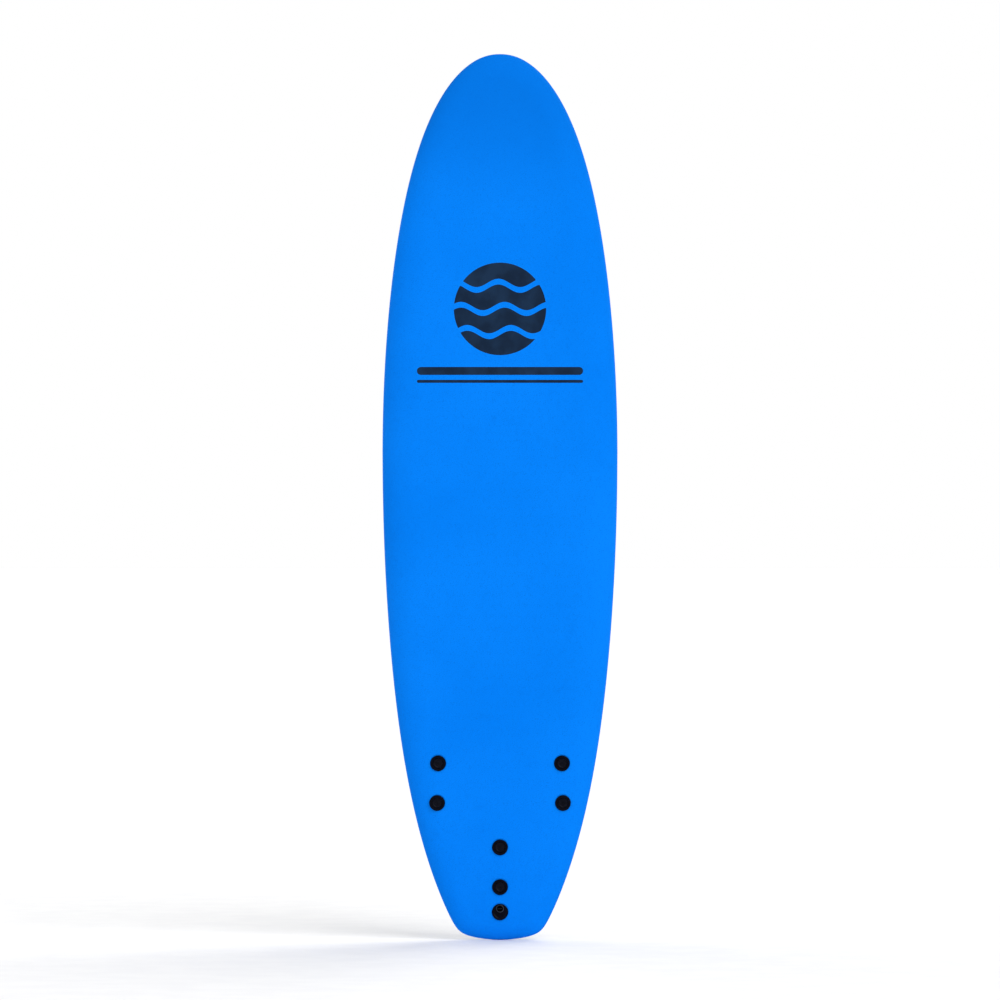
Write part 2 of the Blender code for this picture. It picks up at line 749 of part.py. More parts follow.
# ================================================================ leash plug
def build_leash_plug(materials, cutters):
    """A dished cup in the deck with a bar across its well, and the disc that backs it on the bottom."""
    frame = bottom_frame(0.0, LEASH_Z)
    depth = depth_of_board(frame, 0.0)
    place = frame @ Matrix.Rotation(math.pi, 4, "X")
    stem_top = LEASH_BARREL_LOW + LEASH_STEM_LENGTH
    seat = depth - LEASH_RIM_SINK
    rim = depth + LEASH_RIM_PROUD
    floor = depth + LEASH_FLOOR
    cup = [
        (0, stem_top),
        (LEASH_STEM_RADIUS + GAP, stem_top),
        (LEASH_STEM_RADIUS + GAP, LEASH_BARREL_LOW),
        (LEASH_BARREL_RADIUS, LEASH_BARREL_LOW),
        (LEASH_BARREL_RADIUS, seat),
        (LEASH_RIM_RADIUS, seat),
        (LEASH_RIM_RADIUS, rim - 0.0012),
        (LEASH_RIM_RADIUS - 0.0010, rim - 0.0002),
        (LEASH_RIM_RADIUS - 0.0022, rim),
        (LEASH_DISH_RADIUS + 0.0010, rim - 0.0002),
        (LEASH_DISH_RADIUS, floor),
        (0, floor),
    ]
    obj = turned_object("leash_cup", cup, materials["bushing_plastic"], place)
    well_centre = (LEASH_WELL_OFFSET, 0.0)
    lip = rod(LEASH_LIP_RADIUS, depth - LEASH_LIP_ROOT, depth + LEASH_LIP_PROUD)
    lip_form = turned_object("leash_lip_form", lip, None, place, centre=well_centre)
    boolean(obj, as_cutter(lip_form), "UNION")
    bar_place = place @ Matrix.Translation((LEASH_WELL_OFFSET, 0, depth - LEASH_BAR_DEPTH))
    bar_place = bar_place @ Matrix.Rotation(math.pi / 2, 4, "X")
    bar = rod(LEASH_BAR_RADIUS, -LEASH_BAR_HALF, LEASH_BAR_HALF)
    turned_object("leash_bar", bar, materials["steel"], bar_place, sides=SMALL_ROUND)
    slot = rod(LEASH_BAR_RADIUS + GAP, -LEASH_BAR_HALF - GAP, LEASH_BAR_HALF + GAP)
    slot_form = turned_object("leash_bar_hole", slot, None, bar_place, sides=SMALL_ROUND)
    boolean(obj, as_cutter(slot_form), "DIFFERENCE")
    well = rod(LEASH_WELL_RADIUS, depth - LEASH_WELL_DEPTH, depth + PAST)
    well_form = turned_object("leash_well_form", well, None, place, centre=well_centre)
    boolean(obj, as_cutter(well_form), "DIFFERENCE")

    disc = [
        (0, -LEASH_DISC_PROUD),
        (LEASH_DISC_RADIUS - 0.0028, -LEASH_DISC_PROUD),
        (LEASH_DISC_RADIUS - 0.0008, -LEASH_DISC_PROUD + 0.0006),
        (LEASH_DISC_RADIUS, -0.0002),
        (LEASH_DISC_RADIUS, LEASH_DISC_SINK),
        (LEASH_STEM_RADIUS, LEASH_DISC_SINK),
        (LEASH_STEM_RADIUS, stem_top - 2 * GAP),
        (0, stem_top - 2 * GAP),
    ]
    turned_object("leash_backing_disc", disc, materials["bushing_plastic"], place)

    hole = [
        (0, -PAST),
        (LEASH_DISC_RADIUS + GAP, -PAST),
        (LEASH_DISC_RADIUS + GAP, LEASH_DISC_SINK + GAP),
        (LEASH_STEM_RADIUS + GAP, LEASH_DISC_SINK + GAP),
        (LEASH_STEM_RADIUS + GAP, LEASH_BARREL_LOW - GAP),
        (LEASH_BARREL_RADIUS + GAP, LEASH_BARREL_LOW - GAP),
        (LEASH_BARREL_RADIUS + GAP, seat - GAP),
        (LEASH_RIM_RADIUS + GAP, seat - GAP),
        (LEASH_RIM_RADIUS + GAP, depth + PAST),
        (0, depth + PAST),
    ]
    cutter = as_cutter(turned_object("leash_hole", hole, None, place))
    for layer in ("deck", "bottom", "centre_core"):
        cutters[layer].append(cutter)


# ================================================================ the whole surfboard
def make_materials():
    return {
        "deck_foam": make_material("deck_foam", (0.0, 0.20, 0.95), 0.62),
        "slick": make_material("slick", (0.70, 0.78, 0.92), 0.12),
        "core_foam": make_material("core_foam", (0.90, 0.90, 0.88), 0.9),
        "plywood": make_material("plywood", (0.50, 0.34, 0.18), 0.7),
        "fin_plastic": make_material("fin_plastic", (0.008, 0.011, 0.022), 0.4),
        "fin_edge": make_material("fin_edge", (0.01, 0.12, 0.75), 0.5),
        "bushing_plastic": make_material("bushing_plastic", (0.004, 0.006, 0.015), 0.35),
        "screw_metal": make_material("screw_metal", (0.01, 0.012, 0.02), 0.35, 0.6),
        "seal_rubber": make_material("seal_rubber", (0.01, 0.01, 0.01), 0.8),
        "brass": make_material("brass", (0.65, 0.45, 0.18), 0.3, 1.0),
        "steel": make_material("steel", (0.55, 0.56, 0.58), 0.25, 1.0),
    }


def main():
    clear_scene()
    materials = make_materials()
    cutters = {"deck": [], "bottom": [], "left_core": [], "centre_core": [], "right_core": []}
    for name in FIN_PLACES:
        build_fin(name, materials, cutters)
    build_leash_plug(materials, cutters)
    build_board(materials, cutters)
    for obj in bpy.context.scene.objects:
        if obj.modifiers:
            obj.modifiers.new("shade_by_area", "WEIGHTED_NORMAL")


main()
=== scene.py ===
"""Looks of a soft-top surfboard with three bolt-on fins: fine meshes, materials, light and camera.

The hull, the fins and their fastenings are built again here from the CAD's own dimensions, finely
enough for close views. The core strips and the stringers, which the skins cover, stay as the CAD made
them.
"""

import math

import bmesh
import bpy
import numpy as np
from mathutils import Matrix, Vector
from mathutils.bvhtree import BVHTree


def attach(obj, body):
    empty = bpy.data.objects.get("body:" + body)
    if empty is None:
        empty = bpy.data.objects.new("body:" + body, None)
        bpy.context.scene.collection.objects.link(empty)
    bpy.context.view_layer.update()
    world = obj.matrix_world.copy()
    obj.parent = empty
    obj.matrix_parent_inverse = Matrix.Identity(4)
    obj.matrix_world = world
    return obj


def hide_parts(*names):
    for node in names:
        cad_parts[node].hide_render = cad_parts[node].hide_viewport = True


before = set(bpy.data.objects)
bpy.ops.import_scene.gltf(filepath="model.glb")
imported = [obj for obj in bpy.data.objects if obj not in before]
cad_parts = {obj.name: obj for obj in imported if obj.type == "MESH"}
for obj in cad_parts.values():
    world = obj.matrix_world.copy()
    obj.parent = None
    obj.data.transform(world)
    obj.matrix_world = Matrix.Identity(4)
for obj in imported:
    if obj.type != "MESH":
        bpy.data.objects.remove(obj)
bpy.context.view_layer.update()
scene = bpy.context.scene

# -------- the CAD's dimensions: hull
LENGTH = 2.134
HALF_WIDTH = 0.284
WIDE_POINT = 1.17
TAIL_END_RADIUS = 0.31
NOSE_PULL = (0.41, 0.05)  # how the outline's curve tightens towards each end
TAIL_PULL = (0.41, 0.256)
CORNER = 6
THICKNESS = 0.083
THICKNESS_POINTS = (  # (height above the tail, share of the full thickness)
    (0.0, 0.40), (0.15, 0.55), (0.45, 0.745), (0.85, 0.92),
    (1.25, 1.0), (1.55, 0.94), (1.85, 0.78), (2.134, 0.60),
)
FLAT_POINT = 0.5
NOSE_LIFT = (0.048, 0.0046)
TAIL_LIFT = (0.062, 0.080)
RAIL_HEIGHT = 0.42
BOTTOM_ROLL = 0.85
DECK_ROLL = 1.15
WRAP_EDGE = (90 - 53.0) / 90
TAIL_SPINE = 0.10
NOSE_SPINE = 1.974
GAP = 0.0003
DECK_SKIN = 0.005
BOTTOM_SKIN = 0.002

# -------- the CAD's dimensions: fins
FIN_PLACES = {  # side: (x, height of the flange's middle, toe-in, outward lean)
    "left": (-0.151, 0.379, 1.5, 4.0),
    "centre": (0.0, 0.174, 0.0, 0.0),
    "right": (0.151, 0.379, 1.5, 4.0),
}
FLANGE_LENGTH = 0.150
FLANGE_WIDTH = 0.032
FLANGE_DEPTH = 0.003
FLANGE_PROUD = 0.003
POST_SPACING = 0.096
POST_RADIUS = 0.0055
POST_COLLAR = 0.0008
LEADING_EDGE = (  # (millimetres behind the front root, millimetres above the flange)
    (0, 0), (14, 4), (25, 10), (48, 37.5), (80, 70),
    (110, 91.5), (143, 103), (160, 102), (173, 96), (179, 86),
)
TRAILING_EDGE = (
    (138, 0), (130, 5), (126, 14), (126, 30), (131, 48),
    (144, 61), (158, 70), (168, 74.5), (175, 78.5), (179, 86),
)
FRONT_ROOT = 0.073
GUARD_WIDTH = (0.0055, 0.0036)
GUARD_START = 2
GUARD_END = 1
BLADE_THICK = (0.0074, 0.0048)
EDGE_THICK = 0.0050
THICKEST = 0.35
ROOT_FILLET = 0.0035
ROOT_RISES = (-0.002, 0.0001, 0.0005, 0.0010, 0.0018)
GUARD_TAPER = 5
GUARD_TUCK = GAP * 0.9
GUARD_EASE = 0.0004

# -------- the CAD's dimensions: fastenings
HEAD_RADIUS = 0.01875
HEAD_SINK = 0.0020
HEAD_PROUD = 0.0036
CUP_RADIUS = 0.0146
CUP_DEPTH = 0.0065
TUBE_RADIUS = 0.008
SCREW_WELL_RADIUS = 0.0127
SCREW_WELL_DEPTH = 0.0047
WEB = 0.0045
SCREW_DROP = 0.0004
SCREW_HEAD_RADIUS = 0.0123
SCREW_HEAD_THICK = 0.0026
SHANK_RADIUS = 0.0030
SHANK_LENGTH = 0.0208
SOCKET_ACROSS = 0.005
SOCKET_DEPTH = 0.0024
SEAL_THICK = 0.0011
SEAL_RADIUS = 0.006
INSERT_DROP = 0.0005
INSERT_LENGTH = 0.016
INSERT_OUTER = 0.0044
INSERT_INNER = 0.0033
THREAD_PITCH = 0.001
THREAD_DEPTH = 0.0004
THREAD_RINGS = 8
SHANK_POINT = 0.0009
KNURL_RIBS = 20
KNURL_TWIST = 5200

# -------- the CAD's dimensions: leash plug
LEASH_Z = 0.065
LEASH_RIM_RADIUS = 0.0195
LEASH_RIM_SINK = 0.0018
LEASH_RIM_PROUD = 0.0022
LEASH_BARREL_RADIUS = 0.0175
LEASH_BARREL_LOW = 0.005
LEASH_DISH_RADIUS = 0.0145
LEASH_FLOOR = 0.0006
LEASH_WELL_OFFSET = 0.0085
LEASH_WELL_RADIUS = 0.0073
LEASH_WELL_DEPTH = 0.015
LEASH_LIP_RADIUS = 0.0093
LEASH_LIP_PROUD = 0.0024
LEASH_BAR_RADIUS = 0.002
LEASH_BAR_DEPTH = 0.005
LEASH_BAR_HALF = 0.0115
LEASH_DISC_RADIUS = 0.01675
LEASH_DISC_PROUD = 0.0018
LEASH_DISC_SINK = 0.0019
LEASH_STEM_RADIUS = 0.006
LEASH_STEM_LENGTH = 0.008

# -------- fineness
STATIONS = 150
TAIL_CROWDING = 1.15
FIN_STEPS = 10
BLADE_COLUMNS = 33
PAST = 0.02
SLOPE_STEP = 0.002
NORMAL_STEP = 0.004
MERGE_WITHIN = 2e-6
NO_LENGTH = 1e-6
SLIVER = 1e-5
CRACK_SIDES = 8


# ======== mesh helpers
def smooth_curve(points, steps):
    """Points on a Catmull-Rom curve through the given ones, steps to each stretch."""
    known = np.array(points, float)
    ends = np.vstack([2 * known[0] - known[1], known, 2 * known[-1] - known[-2]])
    found = []
    for i in range(len(known) - 1):
        a, b, c, d = ends[i : i + 4]
        for t in np.arange(steps) / steps:
            bend = (2 * a - 5 * b + 4 * c - d) * t**2 + (3 * b - a - 3 * c + d) * t**3
            found.append(0.5 * (2 * b + (c - a) * t + bend))
    found.append(known[-1])
    return np.array(found)


def clean(bm, merge=MERGE_WITHIN, shortest=NO_LENGTH):
    bmesh.ops.remove_doubles(bm, verts=bm.verts, dist=merge)
    bmesh.ops.dissolve_degenerate(bm, edges=bm.edges, dist=shortest)


def close_slivers(mesh):
    """Merges the points a Boolean leaves a hair apart and fills the cracks between them."""
    bm = bmesh.new()
    bm.from_mesh(mesh)
    clean(bm, SLIVER, SLIVER)
    cracks = [edge for edge in bm.edges if len(edge.link_faces) == 1]
    bmesh.ops.holes_fill(bm, edges=cracks, sides=CRACK_SIDES)
    bm.to_mesh(mesh)
    bm.free()


def make_object(name, bm, material, matrix=None, sharp=40):
    """A mesh object from a bmesh, smooth-shaded except along sharp creases."""
    clean(bm)
    if matrix is not None:
        bm.transform(matrix)
    bmesh.ops.recalc_face_normals(bm, faces=bm.faces)
    if bm.calc_volume(signed=True) < 0:
        bmesh.ops.reverse_faces(bm, faces=bm.faces)
    mesh = bpy.data.meshes.new(name)
    bm.to_mesh(mesh)
    bm.free()
    mesh.shade_smooth()
    mesh.set_sharp_from_angle(angle=math.radians(sharp))
    mesh.materials.append(material)
    obj = bpy.data.objects.new(name, mesh)
    scene.collection.objects.link(obj)
    return obj


def combine(obj, *steps, sharp=40):
    """Applies Boolean steps, each (operation, bmesh, matrix) and, where its faces look different, a
    material, and keeps the result as the object's mesh."""
    helpers = []
    for operation, bm, matrix, *own in steps:
        material = own[0] if own else obj.data.materials[0]
        helper = make_object(f"{obj.name}_helper", bm, material, matrix)
        modifier = obj.modifiers.new(operation, "BOOLEAN")
        modifier.operation = operation
        modifier.solver = "EXACT"
        modifier.material_mode = "TRANSFER"
        modifier.object = helper
        helpers.append(helper)
    graph = bpy.context.evaluated_depsgraph_get()
    mesh = bpy.data.meshes.new_from_object(obj.evaluated_get(graph))
    close_slivers(mesh)
    obj.modifiers.clear()
    obj.data = mesh
    mesh.shade_smooth()
    mesh.set_sharp_from_angle(angle=math.radians(sharp))
    for helper in helpers:
        bpy.data.objects.remove(helper, do_unlink=True)
    shading = obj.modifiers.new("shade_by_area", "WEIGHTED_NORMAL")
    shading.keep_sharp = True
    shading.weight = 80


def finish_piece(obj, body, slot, *nodes):
    """Rides the piece on its body and lets it stand for CAD nodes; slot, the finish's name, is not used.
    """
    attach(obj, body)
    if nodes:
        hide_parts(*nodes)


def simple_piece(name, bm, slot, matrix, body, node, sharp=40):
    """A piece that needs no cutting. It stands for one CAD node."""
    finish_piece(make_object(name, bm, finishes[slot], matrix, sharp), body, slot, node)


def rounded(profile, radius, steps=4, closed=False):
    """The profile with its corners eased by short curves; ends that lie on the axis stay."""
    points = [Vector(p) for p in profile]
    count = len(points)
    eased = []
    for i, point in enumerate(points):
        at_end = i in (0, count - 1) and not closed
        if at_end:
            eased.append(tuple(point))
            continue
        before = points[i - 1] - point
        after = points[(i + 1) % count] - point
        reach = min(radius, before.length * 0.45, after.length * 0.45)
        start = point + before.normalized() * reach
        end = point + after.normalized() * reach
        for k in range(steps + 1):
            t = k / steps
            bend = start * (1 - t) ** 2 + point * 2 * t * (1 - t) + end * t**2
            eased.append(tuple(bend))
    return eased


def turned(bm, profile, sides, centre=(0.0, 0.0), ripple=None):
    """Adds a closed profile of (radius, height), turned about local Z. ripple(angle, height, radius)
    gives what to add to the radius at a place."""
    rings = []
    for radius, height in profile:
        ring = []
        for i in range(sides if radius > 0 else 1):
            angle = 2 * math.pi * i / sides
            here = radius + ripple(angle, height, radius) if ripple else radius
            x = centre[0] + here * math.cos(angle)
            y = centre[1] + here * math.sin(angle)
            ring.append(bm.verts.new((x, y, height)))
        rings.append(ring)
    closed = profile[0][0] > 0
    for k in range(len(rings) if closed else len(rings) - 1):
        first = rings[k]
        second = rings[(k + 1) % len(rings)]
        for i in range(sides):
            a = first[i % len(first)]
            b = first[(i + 1) % len(first)]
            c = second[(i + 1) % len(second)]
            d = second[i % len(second)]
            corners = [v for n, v in enumerate((a, b, c, d)) if v not in (a, b, c, d)[:n]]
            if len(corners) > 2:
                bm.faces.new(corners)
    return bm


def weave(bm, rows, ring=False, loop=False):
    """Faces between neighbouring rows of points. ring closes each row, and loop joins the last row to
    the first."""
    made = []
    for low, high in zip(rows, rows[1:] + rows[:1] if loop else rows[1:]):
        for j in range(len(low) if ring else len(low) - 1):
            n = (j + 1) % len(low)
            made.append(bm.faces.new((low[j], low[n], high[n], high[j])))
    return made


def rod(radius, low, high):
    return [(0, low), (radius, low), (radius, high), (0, high)]


def stadium(bm, levels, segments=20):
    """A slot-shaped block about local X. levels is a list of (height, inset from the full outline)."""
    rings = []
    for height, inset in levels:
        width = FLANGE_WIDTH - 2 * inset
        reach = (FLANGE_LENGTH - FLANGE_WIDTH) / 2
        ring = []
        for end in (1, -1):
            for i in range(segments + 1):
                angle = math.pi * i / segments - math.pi / 2
                x = end * (reach + width / 2 * math.cos(angle))
                ring.append(bm.verts.new((x, end * width / 2 * math.sin(angle), height)))
        rings.append(ring)
    bm.faces.new(rings[0][::-1])
    bm.faces.new(rings[-1])
    weave(bm, rings, ring=True)
    return bm


# ======== the hull's surface
THICKNESS_CURVE = smooth_curve(THICKNESS_POINTS, 12)


def half_width(z):
    z = min(max(z, 0.0), LENGTH)
    if z >= WIDE_POINT:
        u = (z - WIDE_POINT) / (LENGTH - WIDE_POINT)
        return HALF_WIDTH * max(1 - u * u, 0.0) ** (NOSE_PULL[0] + NOSE_PULL[1] * u**6)
    u = (WIDE_POINT - z) / WIDE_POINT
    side = HALF_WIDTH * (1 - u * u * (TAIL_PULL[0] + TAIL_PULL[1] * u**3.4))
    end = math.sqrt(2 * TAIL_END_RADIUS * z)
    if end < NO_LENGTH:
        return 0.0
    return (side**-CORNER + end**-CORNER) ** (-1 / CORNER)


def lift(z):
    d = z - FLAT_POINT
    square, fourth = NOSE_LIFT if d > 0 else TAIL_LIFT
    return square * d**2 + fourth * d**4


def thickness(z):
    return THICKNESS * float(np.interp(z, THICKNESS_CURVE[:, 0], THICKNESS_CURVE[:, 1]))


TAIL_END_DEPTH = lift(0.0) + RAIL_HEIGHT * thickness(0.0)


def rocker(z):
    return lift(z) - TAIL_END_DEPTH


def deck_line(z):
    return rocker(z) + thickness(z)


def hull_point(turn, across):
    """A point of the hull: turn goes round the outline, across from -2 (deck's centreline) over 0 (the
    rail's widest line) to 2 (the bottom's centreline)."""
    z_out = LENGTH * (1 - math.cos(turn)) / 2
    x_out = math.copysign(half_width(z_out), math.sin(turn))
    z_in = min(max(z_out, TAIL_SPINE), NOSE_SPINE)
    reach = math.hypot(x_out, z_out - z_in)
    on_deck = across < 0
    roll = thickness(z_out) * (DECK_ROLL if on_deck else BOTTOM_ROLL)
    part = abs(across)
    angle = math.pi / 2 * min(part, 1.0)
    inset = roll * (1 - math.cos(angle))
    if part > 1:
        inset = roll + (reach - roll) * (part - 1)
    share = inset / reach
    x = x_out * (1 - share)
    z = z_out + (z_in - z_out) * share
    rail = RAIL_HEIGHT * thickness(z)
    if on_deck:
        height = rail + (thickness(z) - rail) * math.sin(angle)
    else:
        height = rail * (1 - math.sin(angle))
    return Vector((x, -rocker(z) - height, z))


def slope_of(line, at):
    return (line(at + SLOPE_STEP) - line(at - SLOPE_STEP)) / (2 * SLOPE_STEP)


def hull_normal(turn, across):
    if abs(across) >= 1:
        z = hull_point(turn, across).z
        if across < 0:
            return Vector((0, -1, -slope_of(deck_line, z))).normalized()
        return Vector((0, 1, slope_of(rocker, z))).normalized()
    along = hull_point(turn + NORMAL_STEP, across) - hull_point(turn - NORMAL_STEP, across)
    over = hull_point(turn, across + NORMAL_STEP) - hull_point(turn, across - NORMAL_STEP)
    return over.cross(along).normalized()


def deck_height(x, z):
    """How far the deck's surface is from the plane y = 0."""
    roll = thickness(z) * DECK_ROLL
    inset = min((half_width(z) - abs(x)) / roll, 1.0)
    rail = RAIL_HEIGHT * thickness(z)
    return rocker(z) + rail + (thickness(z) - rail) * math.sqrt(1 - (1 - inset) ** 2)


def turns():
    one_side = [math.pi * (i / STATIONS) ** TAIL_CROWDING for i in range(STATIONS + 1)]
    return [-turn for turn in one_side[-2:0:-1]] + one_side


def skin(name, rows, thick, material, edge_highlight=None, highlight_rows=0):
    """A shell of even thickness under the hull's surface. rows is a list of (across, how deep the outer
    face lies there), so that the edge can be eased. The first faces by the edge, as many as given, take
    the second material, a painted highlight."""
    bm = bmesh.new()
    layers = []
    for under in (0.0, thick):
        grid = []
        for turn in turns():
            line = []
            for across, eased in rows:
                inward = hull_normal(turn, across) * -(under or eased)
                line.append(bm.verts.new(hull_point(turn, across) + inward))
            grid.append(line)
        for n, face in enumerate(weave(bm, grid, loop=True)):
            face.material_index = int(n % (len(rows) - 1) < highlight_rows)
        layers.append(grid)
    edge = -1 if rows[0][0] <= -2 else 0
    weave(bm, [[line[edge] for line in grid] for grid in layers], ring=True)
    obj = make_object(name, bm, material, sharp=50)
    if edge_highlight is not None:
        obj.data.materials.append(edge_highlight)
    return obj


def spread(low, high, count):
    return [low + (high - low) * i / count for i in range(count + 1)]


def eased_edge(edge, inward, radius, steps=6):
    """Rows that round a skin's edge off. inward is the direction of across away from the edge."""
    rows = []
    for angle in spread(0.0, math.pi / 2, steps):
        away = radius * (1 - math.sin(angle))
        rows.append((edge + inward * away / RAIL_PER_ACROSS, radius * (1 - math.cos(angle))))
    return rows


# ======== local frames
def bottom_frame(x, z, toe=0.0):
    """A frame on the bottom's surface: local X towards the nose, Y towards +X, Z out of it."""
    out = Vector((0, 1, slope_of(rocker, z))).normalized()
    ahead = Matrix.Rotation(math.radians(toe), 4, out) @ Vector((1, 0, 0)).cross(out)
    axes = Matrix((ahead, out.cross(ahead), out)).transposed()
    return Matrix.Translation((x, -rocker(z), z)) @ axes.to_4x4()


def depth_of_board(place, x_local):
    depth = 0.05
    for _ in range(20):
        point = place @ Vector((x_local, 0, -depth))
        depth += deck_height(point.x, point.z) + point.y
    return depth


def inward_frame(place, x_local=0.0):
    """A frame at a place along the fin's base, with local Z into the board."""
    return place @ Matrix.Translation((x_local, 0, 0)) @ Matrix.Rotation(math.pi, 4, "X")


# ======== materials
PEBBLES = 640.0


class Finish:
    """A procedural material under construction: a Principled shader and the nodes that feed it."""

    def __init__(self, name, **settings):
        self.material = bpy.data.materials.new(name)
        self.material.use_nodes = True
        self.tree = self.material.node_tree
        self.shader = self.tree.nodes["Principled BSDF"]
        for key, value in settings.items():
            self.shader.inputs[key.replace("_", " ")].default_value = value
        self.where = self.tree.nodes.new("ShaderNodeTexCoord").outputs["Object"]
        self.normal = None

    def feed(self, socket, value):
        """Links an output to the socket, or sets the socket's own value."""
        if isinstance(value, bpy.types.NodeSocket):
            self.tree.links.new(value, socket)
        else:
            socket.default_value = (*value, 1.0) if socket.type == "RGBA" else value

    def node(self, kind, inputs, **settings):
        made = self.tree.nodes.new(kind)
        for key, value in settings.items():
            setattr(made, key, value)
        for key, value in inputs.items():
            self.feed(made.inputs[key], value)
        return made

    def stretch(self, scale):
        """Object coordinates scaled by a different amount along each axis."""
        return self.node("ShaderNodeMapping", {"Scale": scale, "Vector": self.where}).outputs["Vector"]

    def height(self):
        """Height above the tail in metres."""
        return self.node("ShaderNodeSeparateXYZ", {"Vector": self.where}).outputs["Z"]

    def noise(self, scale, detail=3.0, rough=0.5, vector=None):
        inputs = {"Scale": scale, "Detail": detail, "Roughness": rough, "Vector": vector or self.where}
        return self.node("ShaderNodeTexNoise", inputs).outputs["Fac"]

    def cells(self, scale, smooth=None):
        """Distance to the nearest of scattered points, smoothed by the amount given."""
        inputs, feature = {"Scale": scale, "Vector": self.where}, "F1"
        if smooth is not None:
            inputs["Smoothness"], feature = smooth, "SMOOTH_F1"
        return self.node("ShaderNodeTexVoronoi", inputs, feature=feature).outputs["Distance"]

    def ramp(self, value, low, high, to_low=0.0, to_high=1.0):
        """The value eased from low..high to to_low..to_high."""
        inputs = {"Value": value, "From Min": low, "From Max": high, "To Min": to_low, "To Max": to_high}
        made = self.node("ShaderNodeMapRange", inputs, interpolation_type="SMOOTHSTEP")
        return made.outputs["Result"]

    def add(self, a, b):
        return self.node("ShaderNodeMath", {0: a, 1: b}, operation="ADD").outputs[0]

    def colour(self, first, second, value):
        """Colour between two, by a value from 0 to 1. Either may be the output of an earlier call."""
        made = self.node("ShaderNodeMix", {"Factor": value}, data_type="RGBA")
        for socket, shade in zip([s for s in made.inputs if s.type == "RGBA"], (first, second)):
            self.feed(socket, shade)
        return next(s for s in made.outputs if s.type == "RGBA")

    def bump(self, height, strength, distance):
        """Adds relief on top of the relief given so far."""
        inputs = {"Strength": strength, "Distance": distance, "Height": height}
        if self.normal is not None:
            inputs["Normal"] = self.normal
        self.normal = self.node("ShaderNodeBump", inputs).outputs["Normal"]

    def done(self, colour, roughness):
        ends = {"Base Color": colour, "Roughness": roughness}
        if self.normal is not None:
            ends["Normal"] = self.normal
        for key, value in ends.items():
            self.feed(self.shader.inputs[key], value)
        return self.material


def deck_foam_finish():
    """Embossed closed-cell foam: fine pebbled skin with a slow drift of colour, and painted shade that
    darkens it towards the nose.
    """
    f = Finish("deck_foam_embossed", Specular_IOR_Level=0.03)
    pebble = f.cells(PEBBLES, 0.6)
    grain = f.noise(1500.0, 2.0)
    drift = f.noise(2.6, 3.0)
    mottle = f.noise(36.0, 4.0, 0.6)
    base = f.colour((0.0, 0.183, 0.79), (0.001, 0.203, 0.85), f.ramp(drift, 0.3, 0.7))
    base = f.colour(base, (0.0, 0.155, 0.70), f.ramp(mottle, 0.52, 0.75, 0.0, 0.22))
    base = f.colour(base, (0.0, 0.125, 0.60), f.ramp(pebble, 0.45, 0.9, 0.0, 0.6))
    # painted shade: the colour darkens from 1.70 m to 2.06 m above the tail, standing in for the nose
    # curving away from the light
    base = f.colour(base, (0.0, 0.138, 0.60), f.ramp(f.height(), 1.70, 2.06, 0.0, 0.65))
    f.bump(pebble, 0.35, 0.0003)
    f.bump(grain, 0.2, 0.0002)
    f.bump(f.noise(14.0, 2.0), 0.08, 0.004)
    return f.done(base, f.ramp(grain, 0.3, 0.7, 0.72, 0.9))


def print_finish(name, light, dark, specular):
    """Ink printed on the foam: the pebbled skin shows through, with a few pinholes of thinner ink."""
    f = Finish(name, Specular_IOR_Level=specular)
    pebble = f.cells(PEBBLES, 0.6)
    thin = f.noise(420.0, 3.0, 0.6)
    base = f.colour(dark, light, f.ramp(f.noise(22.0, 3.0), 0.35, 0.7))
    base = f.colour(base, light, f.ramp(thin, 0.58, 0.75, 0.0, 0.8))
    f.bump(pebble, 0.3, 0.0003)
    f.bump(thin, 0.15, 0.0002)
    return f.done(base, f.ramp(thin, 0.35, 0.65, 0.5, 0.7))


def slick_finish(name, first, second, bead):
    """Glossy slick sheet: very slow waves, faint bead marks of the foam under it and hairline wear."""
    f = Finish(name, Coat_Weight=0.7, Coat_Roughness=0.04, Coat_IOR=1.45)
    waves = f.noise(3.0, 1.0, 0.3, f.stretch((1.6, 1.6, 0.6)))
    beads = f.cells(230.0, 0.8)
    cloud = f.noise(1.4, 1.0, 0.3)
    hair = f.noise(55.0, 5.0, 0.7, f.stretch((14.0, 14.0, 0.8)))
    base = f.colour(first, second, f.ramp(cloud, 0.35, 0.65))
    base = f.colour(base, bead, f.ramp(beads, 0.4, 0.8, 0.0, 0.25))
    f.bump(waves, 0.2, 0.02)
    f.bump(beads, 0.05, 0.0004)
    f.bump(hair, 0.02, 0.0002)
    return f.done(base, f.ramp(hair, 0.4, 0.75, 0.16, 0.34))


def core_foam_finish():
    """Expanded bead foam, seen in the fin recesses when a fin is out."""
    f = Finish("bead_foam", Specular_IOR_Level=0.2)
    beads = f.cells(330.0)
    base = f.colour((0.55, 0.55, 0.53), (0.42, 0.43, 0.43), f.ramp(beads, 0.3, 0.75))
    base = f.colour(base, (0.50, 0.49, 0.44), f.ramp(f.noise(40.0, 3.0), 0.45, 0.7))
    f.bump(beads, 0.5, 0.0008)
    return f.done(base, f.ramp(beads, 0.2, 0.8, 0.8, 0.95))


def plywood_finish():
    """Thin veneers on edge, with long grain."""
    f = Finish("stringer_plywood", Specular_IOR_Level=0.3)
    grain = f.noise(60.0, 5.0, 0.65, f.stretch((30.0, 6.0, 0.7)))
    plies = f.noise(900.0, 1.0, 0.5, f.stretch((1.0, 0.01, 0.01)))
    base = f.colour((0.36, 0.22, 0.11), (0.20, 0.115, 0.05), f.ramp(grain, 0.35, 0.7))
    base = f.colour(base, (0.15, 0.08, 0.035), f.ramp(plies, 0.5, 0.6, 0.0, 0.7))
    f.bump(grain, 0.3, 0.0004)
    return f.done(base, f.ramp(grain, 0.3, 0.7, 0.6, 0.8))


